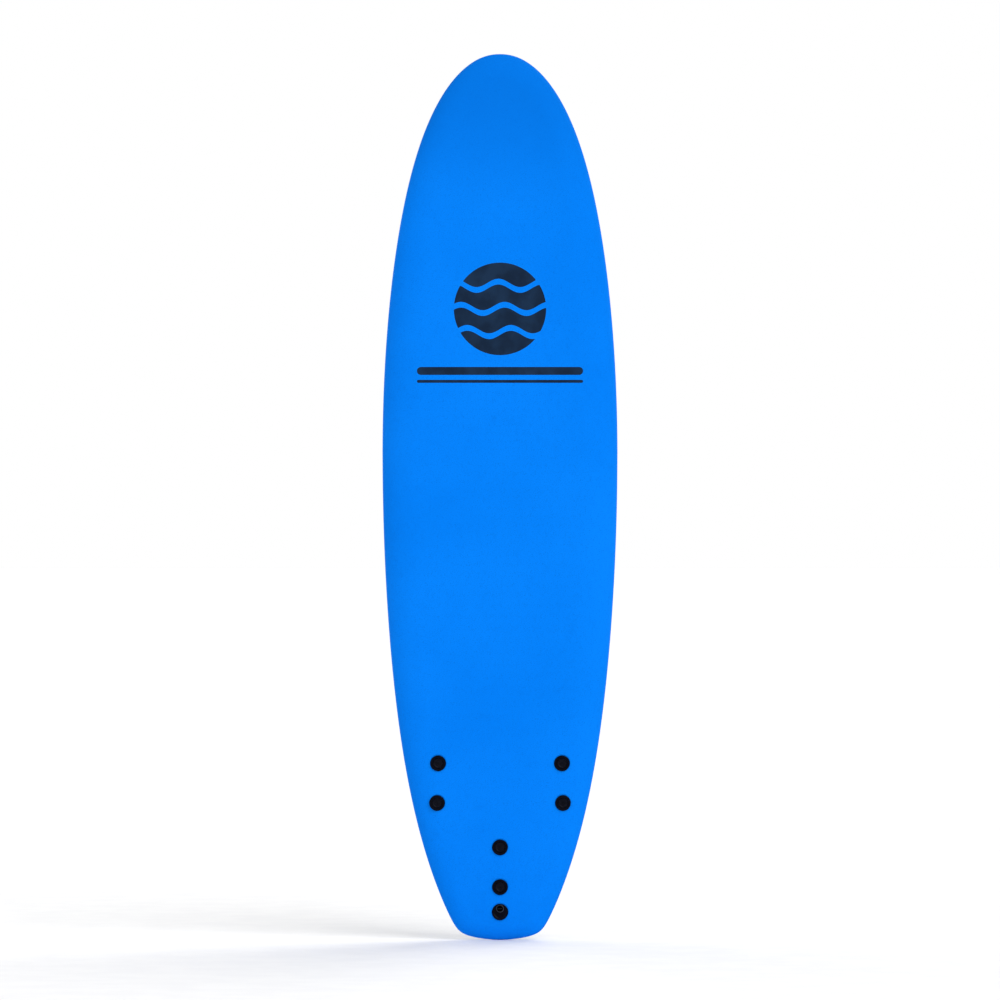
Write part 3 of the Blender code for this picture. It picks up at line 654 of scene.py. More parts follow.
def moulded_finish(name, dark, light, specular, low, high, grain_scale=1400.0, strength=0.25):
    """Moulded plastic: spark-eroded grain, slow flow marks and slight rubbed patches."""
    f = Finish(name, Specular_IOR_Level=specular)
    grain = f.noise(grain_scale, 3.0, 0.6)
    flow = f.noise(26.0, 4.0, 0.6, f.stretch((1.0, 1.0, 0.4)))
    rubbed = f.noise(75.0, 5.0, 0.65)
    base = f.colour(dark, light, f.ramp(flow, 0.35, 0.7))
    base = f.colour(base, tuple(c * 1.9 + 0.002 for c in light), f.ramp(rubbed, 0.6, 0.8, 0.0, 0.55))
    f.bump(grain, strength, 0.00012)
    f.bump(flow, 0.06, 0.0006)
    return f.done(base, f.ramp(f.add(grain, flow), 0.8, 1.2, low, high))


def screw_finish():
    """Black-coated steel, worn to grey in small spots."""
    f = Finish("black_coated_steel", Metallic=0.3, Specular_IOR_Level=0.08)
    wear = f.noise(700.0, 4.0, 0.65)
    grain = f.noise(1900.0, 2.0)
    base = f.colour((0.0018, 0.0022, 0.0062), (0.004, 0.0046, 0.010), f.ramp(f.noise(180.0), 0.4, 0.65))
    base = f.colour(base, (0.08, 0.08, 0.085), f.ramp(wear, 0.66, 0.78, 0.0, 0.6))
    f.bump(grain, 0.2, 0.00008)
    return f.done(base, f.ramp(wear, 0.35, 0.7, 0.28, 0.46))


def metal_finish(name, dark, light, turned_scale):
    """Turned metal: fine tool lines round the axis and light tarnish."""
    f = Finish(name, Metallic=1.0)
    lines = f.noise(1.0, 3.0, 0.6, f.stretch(turned_scale))
    tarnish = f.noise(260.0, 4.0, 0.6)
    base = f.colour(light, dark, f.ramp(tarnish, 0.45, 0.75))
    f.bump(lines, 0.25, 0.00006)
    return f.done(base, f.ramp(tarnish, 0.35, 0.7, 0.22, 0.42))


def rubber_finish():
    f = Finish("seal_rubber_matt", Specular_IOR_Level=0.2)
    dust = f.noise(900.0, 4.0, 0.7)
    base = f.colour((0.006, 0.006, 0.007), (0.02, 0.02, 0.021), f.ramp(dust, 0.5, 0.8))
    f.bump(dust, 0.3, 0.0001)
    return f.done(base, f.ramp(dust, 0.3, 0.7, 0.7, 0.9))


def floor_finish():
    f = Finish("studio_floor", Specular_IOR_Level=0.1)
    fleck = f.noise(9.0, 4.0, 0.6)
    base = f.colour((0.80, 0.80, 0.805), (0.825, 0.825, 0.825), f.ramp(fleck, 0.35, 0.65))
    return f.done(base, f.ramp(fleck, 0.3, 0.7, 0.8, 0.95))


finishes = {
    "deck_foam": deck_foam_finish(),
    "slick": slick_finish(
        "glossy_slick", (0.545, 0.610, 0.775), (0.590, 0.645, 0.785), (0.500, 0.570, 0.735)
    ),
    # painted highlight: a paler slick for the strip along its rolled edge next to the deck, standing in
    # for the light that edge catches
    "slick_edge_highlight": slick_finish(
        "slick_edge_painted_highlight", (0.760, 0.830, 0.880), (0.800, 0.850, 0.890), (0.700, 0.780, 0.850)
    ),
    "core_foam": core_foam_finish(),
    "plywood": plywood_finish(),
    "fin_plastic": moulded_finish(
        "fin_plastic_satin", (0.0035, 0.0070, 0.0200), (0.0055, 0.0095, 0.0260), 0.08, 0.34, 0.48
    ),
    "fin_edge": moulded_finish(
        "fin_edge_soft", (0.003, 0.105, 0.62), (0.006, 0.140, 0.70), 0.12, 0.38, 0.55, 900.0, 0.15
    ),
    "plug_plastic": moulded_finish(
        "plug_plastic_black", (0.0008, 0.0012, 0.0045), (0.0016, 0.0022, 0.0070), 0.05, 0.28, 0.45
    ),
    # painted highlight: a lighter grey plastic for the lip round the leash well, standing in for the
    # light its top edge catches
    "plug_lip_highlight": moulded_finish(
        "plug_lip_painted_highlight", (0.030, 0.036, 0.054), (0.048, 0.056, 0.078), 0.2, 0.30, 0.45
    ),
    "screw_metal": screw_finish(),
    "seal_rubber": rubber_finish(),
    "brass": metal_finish("insert_brass", (0.30, 0.19, 0.07), (0.52, 0.36, 0.15), (900.0,) * 3),
    # painted shade: the leash bar's steel is coloured near black, far darker than bare steel, standing
    # in for the shade in the well it sits in
    "steel": metal_finish(
        "leash_bar_steel_painted_shade", (0.008, 0.008, 0.009), (0.022, 0.022, 0.024), (1800.0, 60.0, 60.0)
    ),
    "navy_print": print_finish("navy_print", (0.009, 0.026, 0.062), (0.0055, 0.0155, 0.038), 0.05),
    "white_print": print_finish("white_print", (0.84, 0.87, 0.90), (0.74, 0.79, 0.85), 0.15),
}


# ======== fins
def fin_outline():
    """The blade's outline from the front root over the tip to the rear root, the direction into the
    blade at each point and the guard's width there."""
    curve = smooth_curve(LEADING_EDGE + TRAILING_EDGE[-2::-1], FIN_STEPS) / 1000
    path = [Vector((FRONT_ROOT - s, 0.0, FLANGE_PROUD + h)) for s, h in curve]
    last = len(path) - 1
    inward = []
    widths = []
    for i in range(len(path)):
        along = (path[min(i + 1, last)] - path[max(i - 1, 0)]).normalized()
        inward.append(Vector((-along.z, 0, along.x)))
        widths.append(GUARD_WIDTH[0] + (GUARD_WIDTH[1] - GUARD_WIDTH[0]) * i / last)
    return path, inward, widths


def fin_matrix(side):
    """The fin's frame, with the blade's lean about the flange's face."""
    x, z, toe, lean = FIN_PLACES[side]
    sign = (x > 0) - (x < 0)
    place = bottom_frame(x, z, -sign * toe)
    face = Matrix.Translation((0, 0, FLANGE_PROUD))
    return place, place @ face @ Matrix.Rotation(-sign * math.radians(lean), 4, "X") @ face.inverted()


def root_flare(height):
    """Extra half thickness of the blade close to the flange."""
    deep = ROOT_FILLET - max(height, 0.0)
    if deep <= 0:
        return 0.0
    return ROOT_FILLET - math.sqrt(max(ROOT_FILLET**2 - deep**2, 0.0))


def blade_form():
    """The hard blade as a bmesh in the fin's own plane: a foil with a flared root, set back behind the
    soft guard and rounded where the guard hasn't begun."""
    path, inward, widths = fin_outline()
    last = len(path) - 1
    first_guard = GUARD_START * FIN_STEPS
    last_guard = last - GUARD_END * FIN_STEPS
    edge = []
    for i, point in enumerate(path):
        if first_guard <= i <= last_guard:
            point = point + inward[i] * (widths[i] + GAP)
        edge.append(point)
    levels = last // 2
    rows = [(0, rise) for rise in ROOT_RISES] + [(i, 0.0) for i in range(1, levels + 1)]
    shares = [(1 - math.cos(math.pi * j / (BLADE_COLUMNS - 1))) / 2 for j in range(BLADE_COLUMNS)]
    radius = EDGE_THICK / 2
    bm = bmesh.new()
    sides = []
    for side in (1, -1):
        grid = []
        for i, rise in rows:
            front = edge[i].copy()
            rear = edge[-1 - i].copy()
            if i == 0:
                slope_front = (edge[1] - edge[0]) / (edge[1].z - edge[0].z)
                slope_rear = (edge[-2] - edge[-1]) / (edge[-2].z - edge[-1].z)
                front += slope_front * max(rise, 0.0) + Vector((0, 0, min(rise, 0.0)))
                rear += slope_rear * max(rise, 0.0) + Vector((0, 0, min(rise, 0.0)))
            elif edge[i].z - FLANGE_PROUD < ROOT_RISES[-1]:
                continue
            full = BLADE_THICK[0] + (BLADE_THICK[1] - BLADE_THICK[0]) * i / levels
            chord = (rear - front).length
            line = []
            for share in shares:
                point = front.lerp(rear, share)
                reach = THICKEST if share < THICKEST else 1 - THICKEST
                bulge = 1 - ((share - THICKEST) / reach) ** 2 if i < levels else 0.0
                half = (EDGE_THICK + (max(full, EDGE_THICK) - EDGE_THICK) * bulge) / 2
                half += root_flare(point.z - FLANGE_PROUD)
                for away, guarded in (
                    (share * chord, i >= first_guard),
                    ((1 - share) * chord, last - i <= last_guard),
                ):
                    if not guarded and away < radius:
                        half *= math.sqrt(max(1 - (1 - away / radius) ** 2, 0.02))
                point.y = side * half
                line.append(bm.verts.new(point))
            grid.append(line)
        sides.append(grid)
    for grid in sides:
        weave(bm, grid)
    weave(bm, [grid[0] for grid in sides])
    for column in (0, -1):
        weave(bm, [[line[column] for line in grid] for grid in sides])
    clean(bm)
    bmesh.ops.recalc_face_normals(bm, faces=bm.faces)
    return bm


def guard_form():
    """The soft edge: a strip with a round outer side, tapered at both ends."""
    path, inward, widths = fin_outline()
    last = len(path) - 1
    start = GUARD_START * FIN_STEPS
    end = last - GUARD_END * FIN_STEPS
    half = EDGE_THICK / 2 + 0.0001
    bm = bmesh.new()
    rings = []
    for i in range(start, end + 1):
        width = widths[i] + GUARD_TUCK
        nose = min(0.0026, width * 0.7)
        near = min(i - start, end - i)
        shrink = 1.0
        if near < GUARD_TAPER - 1:
            shrink = math.sqrt(1 - (1 - (near + 0.4) / GUARD_TAPER) ** 2)
        section = [(width, half - GUARD_EASE), (width - GUARD_EASE, half)]
        for k in range(13):
            angle = math.pi * k / 12
            section.append((nose - nose * math.sin(angle), half * math.cos(angle)))
        section += [(width - GUARD_EASE, -half), (width, GUARD_EASE - half)]
        ring = []
        for deep, across in section:
            deep = width + (deep - width) * shrink
            offset = inward[i] * deep + Vector((0, across * shrink, 0))
            ring.append(bm.verts.new(path[i] + offset))
        rings.append(ring)
    bm.faces.new(rings[0])
    bm.faces.new(rings[-1][::-1])
    weave(bm, rings, ring=True)
    return bm


FLANGE_PROFILE = rounded(
    [
        (-FLANGE_DEPTH, 0.0006), (-FLANGE_DEPTH + 0.0008, 0.0),
        (FLANGE_PROUD - 0.0004, 0.0), (FLANGE_PROUD, 0.0020),
    ],
    0.0016,
    5,
)


def build_fin(side):
    place, leaned = fin_matrix(side)
    levels = [(-FLANGE_DEPTH, 0.004)] + list(FLANGE_PROFILE) + [(FLANGE_PROUD + 0.00005, 0.006)]
    flange = stadium(bmesh.new(), levels)
    fin = make_object(f"{side}_fin_moulding", flange, finishes["fin_plastic"], place)
    posts = bmesh.new()
    bores = bmesh.new()
    collar = POST_RADIUS + POST_COLLAR
    for x_local in (POST_SPACING / 2, -POST_SPACING / 2):
        end = post_end(place, x_local)
        profile = [
            (0, -0.001), (collar, -0.001), (collar, FLANGE_DEPTH - 0.0004),
            (collar, FLANGE_DEPTH + 0.0002), (POST_RADIUS, FLANGE_DEPTH + 0.0012),
            (POST_RADIUS, end - 0.0006), (POST_RADIUS - 0.0005, end), (0, end),
        ]
        bore = rod(INSERT_OUTER + GAP, end - INSERT_DROP - INSERT_LENGTH - 2 * GAP, end + PAST)
        centre = (x_local, 0.0)
        turned(posts, profile, 40, centre)
        turned(bores, bore, 40, centre)
    flip = inward_frame(place)
    blade = ("UNION", blade_form(), leaned)
    combine(fin, blade, ("UNION", posts, flip), ("DIFFERENCE", bores, flip), sharp=32)
    body = f"{side}_fin"
    finish_piece(fin, body, "fin_plastic", f"{side}_fin")
    soft_edge = f"{side}_fin_soft_edge"
    simple_piece(f"{side}_fin_soft_rim", guard_form(), "fin_edge", leaned, body, soft_edge, sharp=60)


def post_end(place, x_local):
    """Length of a fin's post into the board, from the bottom's surface."""
    return depth_of_board(place, x_local) + HEAD_PROUD - SCREW_WELL_DEPTH - WEB - 2 * GAP


# ======== fastenings
def thread_phase(angle, height):
    """Where a place lies between two ridges of a right-hand thread, from 0 to 1."""
    return (height / THREAD_PITCH - angle / (2 * math.pi)) % 1.0


def thread(low, high):
    """Ripple of a right-hand thread between two heights, faded out at both ends."""

    def ripple(angle, height, radius):
        if not low < height < high or radius < SHANK_RADIUS * 0.7:
            return 0.0
        phase = thread_phase(angle, height)
        fade = min((height - low) / THREAD_PITCH, (high - height) / THREAD_PITCH, 1.0)
        return -THREAD_DEPTH * min(abs(phase - 0.5) * 2.4, 1.0) * fade

    return ripple


def build_fastening(side, end, place, x_local):
    name = f"{side}_{end}"
    depth = depth_of_board(place, x_local)
    local = inward_frame(place, x_local)
    top = depth + HEAD_PROUD
    seat = depth - HEAD_SINK
    well = top - SCREW_WELL_DEPTH
    bushing = [
        (TUBE_RADIUS, FLANGE_DEPTH + 2 * GAP), (TUBE_RADIUS, depth - CUP_DEPTH),
        (CUP_RADIUS, depth - CUP_DEPTH), (CUP_RADIUS, seat), (HEAD_RADIUS - 0.0003, seat),
        (HEAD_RADIUS, top - 0.0016), (HEAD_RADIUS - 0.0016, top - 0.0002),
        (SCREW_WELL_RADIUS + 0.0022, top), (SCREW_WELL_RADIUS + 0.0006, top),
        (SCREW_WELL_RADIUS, top - 0.0006), (SCREW_WELL_RADIUS, well),
        (SHANK_RADIUS + 2 * GAP, well), (SHANK_RADIUS + 2 * GAP, well - WEB),
        (POST_RADIUS + GAP, well - WEB), (POST_RADIUS + GAP, FLANGE_DEPTH + 2 * GAP),
    ]
    bm = turned(bmesh.new(), rounded(bushing, 0.0005, 4, closed=True), 72)
    simple_piece(f"{name}_bushing_moulding", bm, "plug_plastic", local, "board", f"{name}_bushing")

    build_insert(name, side, local, well - WEB - 2 * GAP - INSERT_DROP)
    build_screw(name, local, top)

    radius = SEAL_THICK / 2
    centre = well + GAP + radius
    angles = spread(0.0, 2 * math.pi, 16)[:-1]
    ring = [(SEAL_RADIUS + radius * math.sin(a), centre + radius * math.cos(a)) for a in angles]
    bm = turned(bmesh.new(), ring, 56)
    simple_piece(f"{name}_seal_ring", bm, "seal_rubber", local, f"{name}_seal", f"{name}_seal")


def build_insert(name, side, local, high):
    """A knurled brass sleeve with a thread inside."""
    low = high - INSERT_LENGTH
    rows = [(INSERT_OUTER, height) for height in spread(low, high, 48)]
    rows += [(INSERT_INNER + 0.0002, height) for height in spread(high, low, 48)]

    def ripple(angle, height, radius):
        end = min(height - low, high - height)
        if radius > INSERT_INNER + 0.0005:
            if end < 0.0012:
                return -0.0004 * (1 - end / 0.0012)
            around, along = KNURL_RIBS * angle, KNURL_TWIST * height
            knurl = math.cos(around + along) * math.cos(around - along)
            return -0.0001 + 0.0001 * knurl
        phase = thread_phase(angle, height)
        fade = min(end / 0.0008, 1.0)
        return -0.00018 * fade * (1 - abs(phase - 0.5) * 2) + 0.0004 * (1 - fade)

    bm = turned(bmesh.new(), rows, 72, ripple=ripple)
    simple_piece(f"{name}_knurled_insert", bm, "brass", local, f"{side}_fin", f"{name}_insert")


def build_screw(name, local, top):
    """A wide pan head with a dished crown and a hex socket, on a threaded shank."""
    crown = top - SCREW_DROP
    under = crown - SCREW_HEAD_THICK
    low = under - SHANK_LENGTH
    head = rounded(
        [
            (SHANK_RADIUS, under - 0.0006), (SHANK_RADIUS + 0.0004, under),
            (SCREW_HEAD_RADIUS - 0.0005, under), (SCREW_HEAD_RADIUS, under + 0.0005),
            (SCREW_HEAD_RADIUS, crown - 0.0009), (SCREW_HEAD_RADIUS - 0.0009, crown),
            (SCREW_HEAD_RADIUS - 0.0030, crown), (SCREW_HEAD_RADIUS - 0.0044, crown - 0.0008),
            (0, crown - 0.0008),
        ],
        0.0004,
    )
    rings = round((SHANK_LENGTH - 0.0030) / (THREAD_PITCH / THREAD_RINGS))
    thread_top = low + SHANK_POINT + rings * THREAD_PITCH / THREAD_RINGS
    shank = [(0, low), (SHANK_RADIUS - SHANK_POINT, low)]
    shank += [(SHANK_RADIUS, height) for height in spread(low + SHANK_POINT, thread_top, rings)]
    bm = turned(bmesh.new(), shank + head, 36, ripple=thread(low + 0.0004, thread_top))
    screw = make_object(f"{name}_hex_screw", bm, finishes["screw_metal"], local)
    socket = rod(SOCKET_ACROSS / math.sqrt(3), crown - SOCKET_DEPTH, crown + PAST)
    combine(screw, ("DIFFERENCE", turned(bmesh.new(), socket, 6), local), sharp=42)
    finish_piece(screw, f"{name}_screw", "screw_metal", f"{name}_screw")


def pressed_rim(radius, seat, depth):
    """The end of a hole's profile: the foam's edge, pressed down round a head seated at seat."""
    return [
        (radius + GAP, seat - GAP), (radius + GAP, depth - 0.0009),
        (radius + 2 * GAP, depth - 0.0004), (radius + 0.0012, depth),
        (radius + 0.0030, depth + 0.0005), (radius + 0.0030, depth + PAST), (0, depth + PAST),
    ]


def fastening_hole(depth):
    """What a bushing takes out of the deck."""
    return [
        (0, FLANGE_DEPTH - GAP), (TUBE_RADIUS + GAP, FLANGE_DEPTH - GAP),
        (TUBE_RADIUS + GAP, depth - CUP_DEPTH - GAP), (CUP_RADIUS + GAP, depth - CUP_DEPTH - GAP),
        (CUP_RADIUS + GAP, depth - HEAD_SINK - GAP),
        *pressed_rim(HEAD_RADIUS, depth - HEAD_SINK, depth),
    ]


# ======== leash plug
def build_leash_plug(place, depth):
    local = inward_frame(place)
    stem_top = LEASH_BARREL_LOW + LEASH_STEM_LENGTH
    seat = depth - LEASH_RIM_SINK
    rim = depth + LEASH_RIM_PROUD
    floor = depth + LEASH_FLOOR
    cup = [
        (0, stem_top), (LEASH_STEM_RADIUS + GAP, stem_top),
        (LEASH_STEM_RADIUS + GAP, LEASH_BARREL_LOW), (LEASH_BARREL_RADIUS, LEASH_BARREL_LOW),
        (LEASH_BARREL_RADIUS, seat), (LEASH_RIM_RADIUS, seat), (LEASH_RIM_RADIUS, rim - 0.0012),
        (LEASH_RIM_RADIUS - 0.0010, rim - 0.0002), (LEASH_RIM_RADIUS - 0.0022, rim),
        (LEASH_DISH_RADIUS + 0.0012, rim - 0.0002), (LEASH_DISH_RADIUS - 0.0012, floor), (0, floor),
    ]
    bm = turned(bmesh.new(), rounded(cup, 0.0006, 5), 96)
    obj = make_object("leash_cup_moulding", bm, finishes["plug_plastic"], local)
    centre = (LEASH_WELL_OFFSET, 0.0)
    lip_top = depth + LEASH_LIP_PROUD
    lip = rounded(
        [
            (0, depth - 0.003), (LEASH_LIP_RADIUS, depth - 0.003),
            (LEASH_LIP_RADIUS, lip_top - 0.0007), (LEASH_LIP_RADIUS - 0.0009, lip_top),
            (0, lip_top),
        ],
        0.0005,
    )
    well = [
        (0, depth - LEASH_WELL_DEPTH), (LEASH_WELL_RADIUS, depth - LEASH_WELL_DEPTH),
        (LEASH_WELL_RADIUS, lip_top - 0.0005), (LEASH_WELL_RADIUS + 0.0006, lip_top),
        (LEASH_WELL_RADIUS + 0.0006, depth + PAST), (0, depth + PAST),
    ]
    bar_place = local @ Matrix.Translation((LEASH_WELL_OFFSET, 0, depth - LEASH_BAR_DEPTH))
    bar_place = bar_place @ Matrix.Rotation(math.pi / 2, 4, "X")
    slot = rod(LEASH_BAR_RADIUS + GAP, -LEASH_BAR_HALF - GAP, LEASH_BAR_HALF + GAP)
    combine(
        obj,
        # the lip takes the lighter grey of the painted highlight
        ("UNION", turned(bmesh.new(), lip, 64, centre), local, finishes["plug_lip_highlight"]),
        ("DIFFERENCE", turned(bmesh.new(), slot, 32), bar_place),
        ("DIFFERENCE", turned(bmesh.new(), well, 64, centre), local),
    )
    finish_piece(obj, "board", "plug_plastic", "leash_cup")

    # the bar takes the near-black steel, painted shade for the well it lies in
    bar = rounded(rod(LEASH_BAR_RADIUS, -LEASH_BAR_HALF, LEASH_BAR_HALF), 0.0005)
    bm = turned(bmesh.new(), bar, 40)
    simple_piece("leash_tie_bar", bm, "steel", bar_place, "board", "leash_bar")

    disc = rounded(
        [
            (0, -LEASH_DISC_PROUD), (LEASH_DISC_RADIUS - 0.0030, -LEASH_DISC_PROUD),
            (LEASH_DISC_RADIUS - 0.0008, -LEASH_DISC_PROUD + 0.0007), (LEASH_DISC_RADIUS, -0.0002),
            (LEASH_DISC_RADIUS, LEASH_DISC_SINK), (LEASH_STEM_RADIUS, LEASH_DISC_SINK),
            (LEASH_STEM_RADIUS, stem_top - 2 * GAP), (0, stem_top - 2 * GAP),
        ],
        0.0006,
        5,
    )
    bm = turned(bmesh.new(), disc, 80)
    simple_piece("leash_plug_disc", bm, "plug_plastic", local, "board", "leash_backing_disc")


def leash_hole(depth):
    seat = depth - LEASH_RIM_SINK
    return [
        (0, -PAST), (LEASH_DISC_RADIUS + GAP, -PAST),
        (LEASH_DISC_RADIUS + GAP, LEASH_DISC_SINK + GAP),
        (LEASH_STEM_RADIUS + GAP, LEASH_DISC_SINK + GAP),
        (LEASH_STEM_RADIUS + GAP, LEASH_BARREL_LOW - GAP),
        (LEASH_BARREL_RADIUS + GAP, LEASH_BARREL_LOW - GAP),
        (LEASH_BARREL_RADIUS + GAP, seat - GAP),
        *pressed_rim(LEASH_RIM_RADIUS, seat, depth),
    ]


# ======== the board
KEPT_NODES = {  # CAD nodes that keep their shape, and their finishes
    "left_core": "core_foam",
    "centre_core": "core_foam",
    "right_core": "core_foam",
    "left_stringer": "plywood",
    "right_stringer": "plywood",
}
# the strip of the slick next to the deck, which takes the painted highlight
HIGHLIGHT_STRIP = 0.034  # in units of across, as the next one
SEAM_GAP = 0.0025
HIGHLIGHT_ROWS = 8
RAIL_PER_ACROSS = 0.085
DECK_EDGE_ROUND = 0.0013
SLICK_EDGE_ROUND = 0.0006


def rows_of_deck():
    flat = spread(-2.0, -1.0, 9) + spread(-1.0, 0.0, 16)[1:] + spread(0.0, WRAP_EDGE - 0.03, 7)[1:]
    rows = [(across, 0.0) for across in flat + [WRAP_EDGE - 0.022]]
    return rows + eased_edge(WRAP_EDGE, -1, DECK_EDGE_ROUND)


def rows_of_bottom():
    start = WRAP_EDGE + SEAM_GAP
    flat = [start + HIGHLIGHT_STRIP / 2] + spread(start + HIGHLIGHT_STRIP, 1.0, 12) + spread(1.0, 2.0, 9)[1:]
    return eased_edge(start, 1, SLICK_EDGE_ROUND)[::-1] + [(across, 0.0) for across in flat]


def build_board():
    deck = skin("deck_foam_sheet", rows_of_deck(), DECK_SKIN, finishes["deck_foam"])
    # the slick's first rows take the painted highlight along its edge
    looks = (finishes["slick"], finishes["slick_edge_highlight"], HIGHLIGHT_ROWS)
    bottom = skin("bottom_slick_sheet", rows_of_bottom(), BOTTOM_SKIN, *looks)
    deck_cuts = bmesh.new()
    bottom_cuts = bmesh.new()

    def add(target, made, matrix):
        made.transform(matrix)
        bmesh.ops.recalc_face_normals(made, faces=made.faces)
        mesh = bpy.data.meshes.new("cut")
        made.to_mesh(mesh)
        made.free()
        target.from_mesh(mesh)
        bpy.data.meshes.remove(mesh)

    for side in FIN_PLACES:
        place, _ = fin_matrix(side)
        recess = [
            (-FLANGE_DEPTH - GAP, -GAP), (-0.0006, -GAP), (0.0002, -GAP - 0.0008),
            (PAST, -GAP - 0.0008),
        ]
        add(bottom_cuts, stadium(bmesh.new(), recess), place)
        for end, x_local in (("front", POST_SPACING / 2), ("rear", -POST_SPACING / 2)):
            hole = turned(bmesh.new(), fastening_hole(depth_of_board(place, x_local)), 72)
            add(deck_cuts, hole, inward_frame(place, x_local))
            build_fastening(side, end, place, x_local)
        build_fin(side)
    leash = bottom_frame(0.0, LEASH_Z)
    depth = depth_of_board(leash, 0.0)
    for target in (deck_cuts, bottom_cuts):
        add(target, turned(bmesh.new(), leash_hole(depth), 72), inward_frame(leash))
    build_leash_plug(leash, depth)
    combine(deck, ("DIFFERENCE", deck_cuts, None), sharp=50)
    combine(bottom, ("DIFFERENCE", bottom_cuts, None), sharp=50)
    finish_piece(deck, "board", "deck_foam", "deck_skin")
    finish_piece(bottom, "board", "slick", "bottom_skin")
    for node, finish in KEPT_NODES.items():
        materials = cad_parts[node].data.materials
        materials.clear()
        materials.append(finishes[finish])


# ======== printed marks
INK = 0.00012
INK_ROOT = 0.0003
DISC_RADIUS = 0.111
DISC_HEIGHT = 1.524
STRIPES = (  # name, height, half length, half width
    ("deck_stripe_wide", 1.375, 0.200, 0.0095),
    ("deck_stripe_narrow", 1.350, 0.200, 0.0035),
)
ROUNDEL_RADIUS = 0.017
ROUNDEL_BEHIND = 0.101
ROUNDEL_HEIGHT = 0.053
DISC_WAVES = (3, 0.014, 0.010, 0.105)  # number of waves, gap, amplitude, wavelength
ROUNDEL_WAVES = (3, 0.0024, 0.0016, 0.0155)
PHASE_STEP = 0.9
THINNEST = 0.002
RAY_START = 0.05


def wave_bands(radius, waves, gap, amplitude, wavelength, columns=140):
    """What rows of waves leave of a disc: lists of (u, low, high) columns, one list for each band."""
    lines = [lambda u: -2 * radius]
    spacing = 2 * radius / (waves + 1)
    for k in range(waves):
        middle, phase = -radius + spacing * (k + 1), PHASE_STEP * k
        lines.append(
            lambda u, m=middle, p=phase: m + amplitude * math.sin(2 * math.pi * u / wavelength + p)
        )
    lines.append(lambda u: 2 * radius)
    bands = []
    for below, above in zip(lines, lines[1:]):
        band = []
        for j in range(columns + 1):
            u = -radius * math.cos(math.pi * j / columns)
            rim = math.sqrt(max(radius**2 - u**2, 0.0))
            low = max(below(u) + gap / 2, -rim)
            high = min(above(u) - gap / 2, rim)
            if high - low > radius * THINNEST:
                band.append((u, low, high))
                continue
            if len(band) > 1:
                bands.append(band)
            band = []
        if len(band) > 1:
            bands.append(band)
    return bands


def bar_shape(half_length, half_width, columns=60):
    """A stripe with round ends, as columns."""
    band = []
    for j in range(1, columns):
        u = -half_length * math.cos(math.pi * j / columns)
        into_end = max(half_width - half_length + abs(u), 0.0)
        rise = math.sqrt(max(half_width**2 - into_end**2, 1e-10))
        band.append((u, -rise, rise))
    return band


def printed(name, body, bands, surface, finish, rows=6):
    """Thin closed ink films that lie on a surface. surface(u, v) gives a point and its normal."""
    bm = bmesh.new()
    for band in bands:
        sheets = []
        for offset in (INK, -INK_ROOT):
            sheet = []
            for u, low, high in band:
                line = []
                for k in range(rows + 1):
                    point, normal = surface(u, low + (high - low) * k / rows)
                    line.append(bm.verts.new(point + normal * offset))
                sheet.append(line)
            sheets.append(sheet)
        for sheet in sheets:
            weave(bm, sheet)
        for end in (0, -1):
            weave(bm, [[line[end] for line in sheet] for sheet in sheets])
        for end in (0, -1):
            weave(bm, [sheet[end] for sheet in sheets])
    finish_piece(make_object(name, bm, finishes[finish], sharp=50), body, None)


def deck_surface(height):
    def surface(u, v):
        z = height + v
        point = Vector((u, -deck_height(u, z), z))
        by_x = slope_of(lambda x: deck_height(x, z), u)
        by_z = slope_of(lambda at: deck_height(u, at), z)
        return point, -Vector((by_x, 1, by_z)).normalized()

    return surface


def fin_surface(tree, leaned, sign):
    """The blade's face on one side, about the roundel's middle."""

    def surface(u, v):
        x, z = FRONT_ROOT - ROUNDEL_BEHIND + u, FLANGE_PROUD + ROUNDEL_HEIGHT + v
        point, normal, _, _ = tree.ray_cast(Vector((x, sign * RAY_START, z)), Vector((0, -sign, 0)))
        if normal.y * sign < 0:
            normal = -normal
        return leaned @ point, (leaned.to_3x3() @ normal).normalized()

    return surface


def build_marks():
    bands = wave_bands(DISC_RADIUS, *DISC_WAVES)
    printed("deck_wave_disc", "board", bands, deck_surface(DISC_HEIGHT), "navy_print")
    for name, height, half_length, half_width in STRIPES:
        printed(name, "board", [bar_shape(half_length, half_width)], deck_surface(height), "navy_print")
    tree = BVHTree.FromBMesh(blade_form())
    bands = wave_bands(ROUNDEL_RADIUS, *ROUNDEL_WAVES, columns=70)
    for side, sign in (("left", -1), ("centre", 1), ("right", 1)):
        _, leaned = fin_matrix(side)
        face = fin_surface(tree, leaned, sign)
        printed(f"{side}_fin_roundel", f"{side}_fin", bands, face, "white_print")


# ======== stage
WORLD_LIGHT = 0.42
FLOOR_RADIUS = 90.0
FLOOR_DROP = 0.0004
SUNS = (  # name, azimuth and elevation it shines from, strength, angular size
    ("key_front", 38, 38, 1.9, 45),
    ("fill_front", -42, 22, 0.6, 60),
    ("key_back", 145, 38, 1.55, 45),
    ("fill_back", 222, 24, 0.85, 60),
)


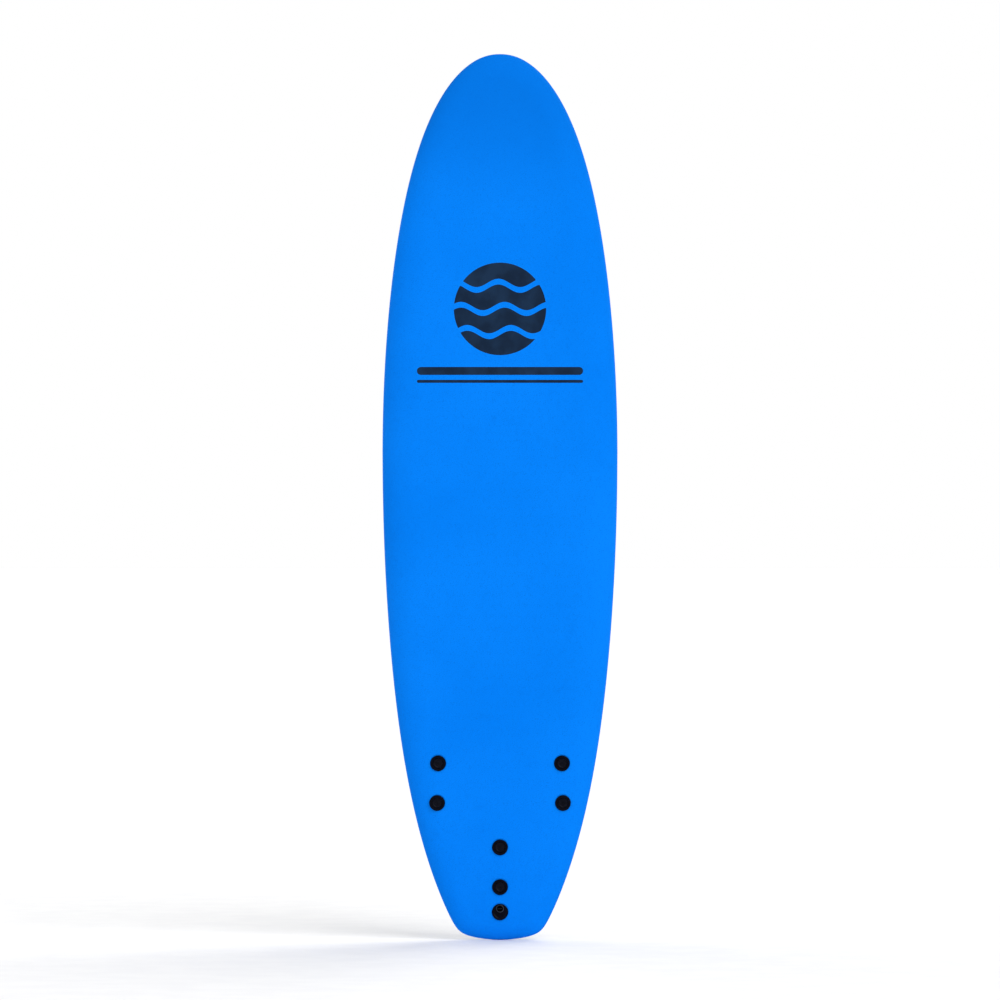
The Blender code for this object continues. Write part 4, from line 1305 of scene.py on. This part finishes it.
def sun(name, azimuth, elevation, strength, size):
    """A wide, soft sun. Azimuth 0 is in front of the deck and 90 is on the +X side."""
    data = bpy.data.lights.new(name, "SUN")
    data.energy = strength
    data.angle = math.radians(size)
    around, above = math.radians(azimuth), math.radians(elevation)
    level = math.cos(above)
    source = Vector((math.sin(around) * level, -math.cos(around) * level, math.sin(above)))
    obj = bpy.data.objects.new(name, data)
    obj.location = source * 4
    obj.rotation_euler = (-source).to_track_quat("-Z", "Y").to_euler()
    scene.collection.objects.link(obj)


def build_stage():
    """A pale floor that runs out into a white backdrop, with wide suns before and behind the board."""
    bm = bmesh.new()
    bmesh.ops.create_circle(bm, cap_ends=True, segments=96, radius=FLOOR_RADIUS)
    floor = make_object("floor", bm, floor_finish(), Matrix.Translation((0, 0, -FLOOR_DROP)))
    world = bpy.data.worlds.new("studio")
    world.use_nodes = True
    nodes, links = world.node_tree.nodes, world.node_tree.links
    nodes["Background"].inputs["Color"].default_value = (1.0, 1.0, 1.0, 1.0)
    path = nodes.new("ShaderNodeLightPath")
    strength = nodes.new("ShaderNodeMapRange")
    strength.inputs["To Min"].default_value = WORLD_LIGHT
    strength.inputs["To Max"].default_value = 1.0
    links.new(path.outputs["Is Camera Ray"], strength.inputs["Value"])
    links.new(strength.outputs["Result"], nodes["Background"].inputs["Strength"])
    scene.world = world
    for light in SUNS:
        sun(*light)


CAMERA_LENS = 250.0
SENSOR = 36.0
FRAME_HEIGHT = 2.420
LOOK_HEIGHT = 1.0643
NEAREST = 0.1
FURTHEST = 200.0


def build_camera():
    data = bpy.data.cameras.new("camera")
    data.lens = CAMERA_LENS
    data.sensor_width = SENSOR
    data.clip_start = NEAREST
    data.clip_end = FURTHEST
    camera = bpy.data.objects.new("camera", data)
    camera.location = (0.0, -FRAME_HEIGHT * CAMERA_LENS / SENSOR, LOOK_HEIGHT)
    camera.rotation_euler = (math.pi / 2, 0, 0)
    scene.collection.objects.link(camera)
    scene.camera = camera


build_board()
build_marks()
build_stage()
build_camera()
scene.view_settings.view_transform = "Standard"
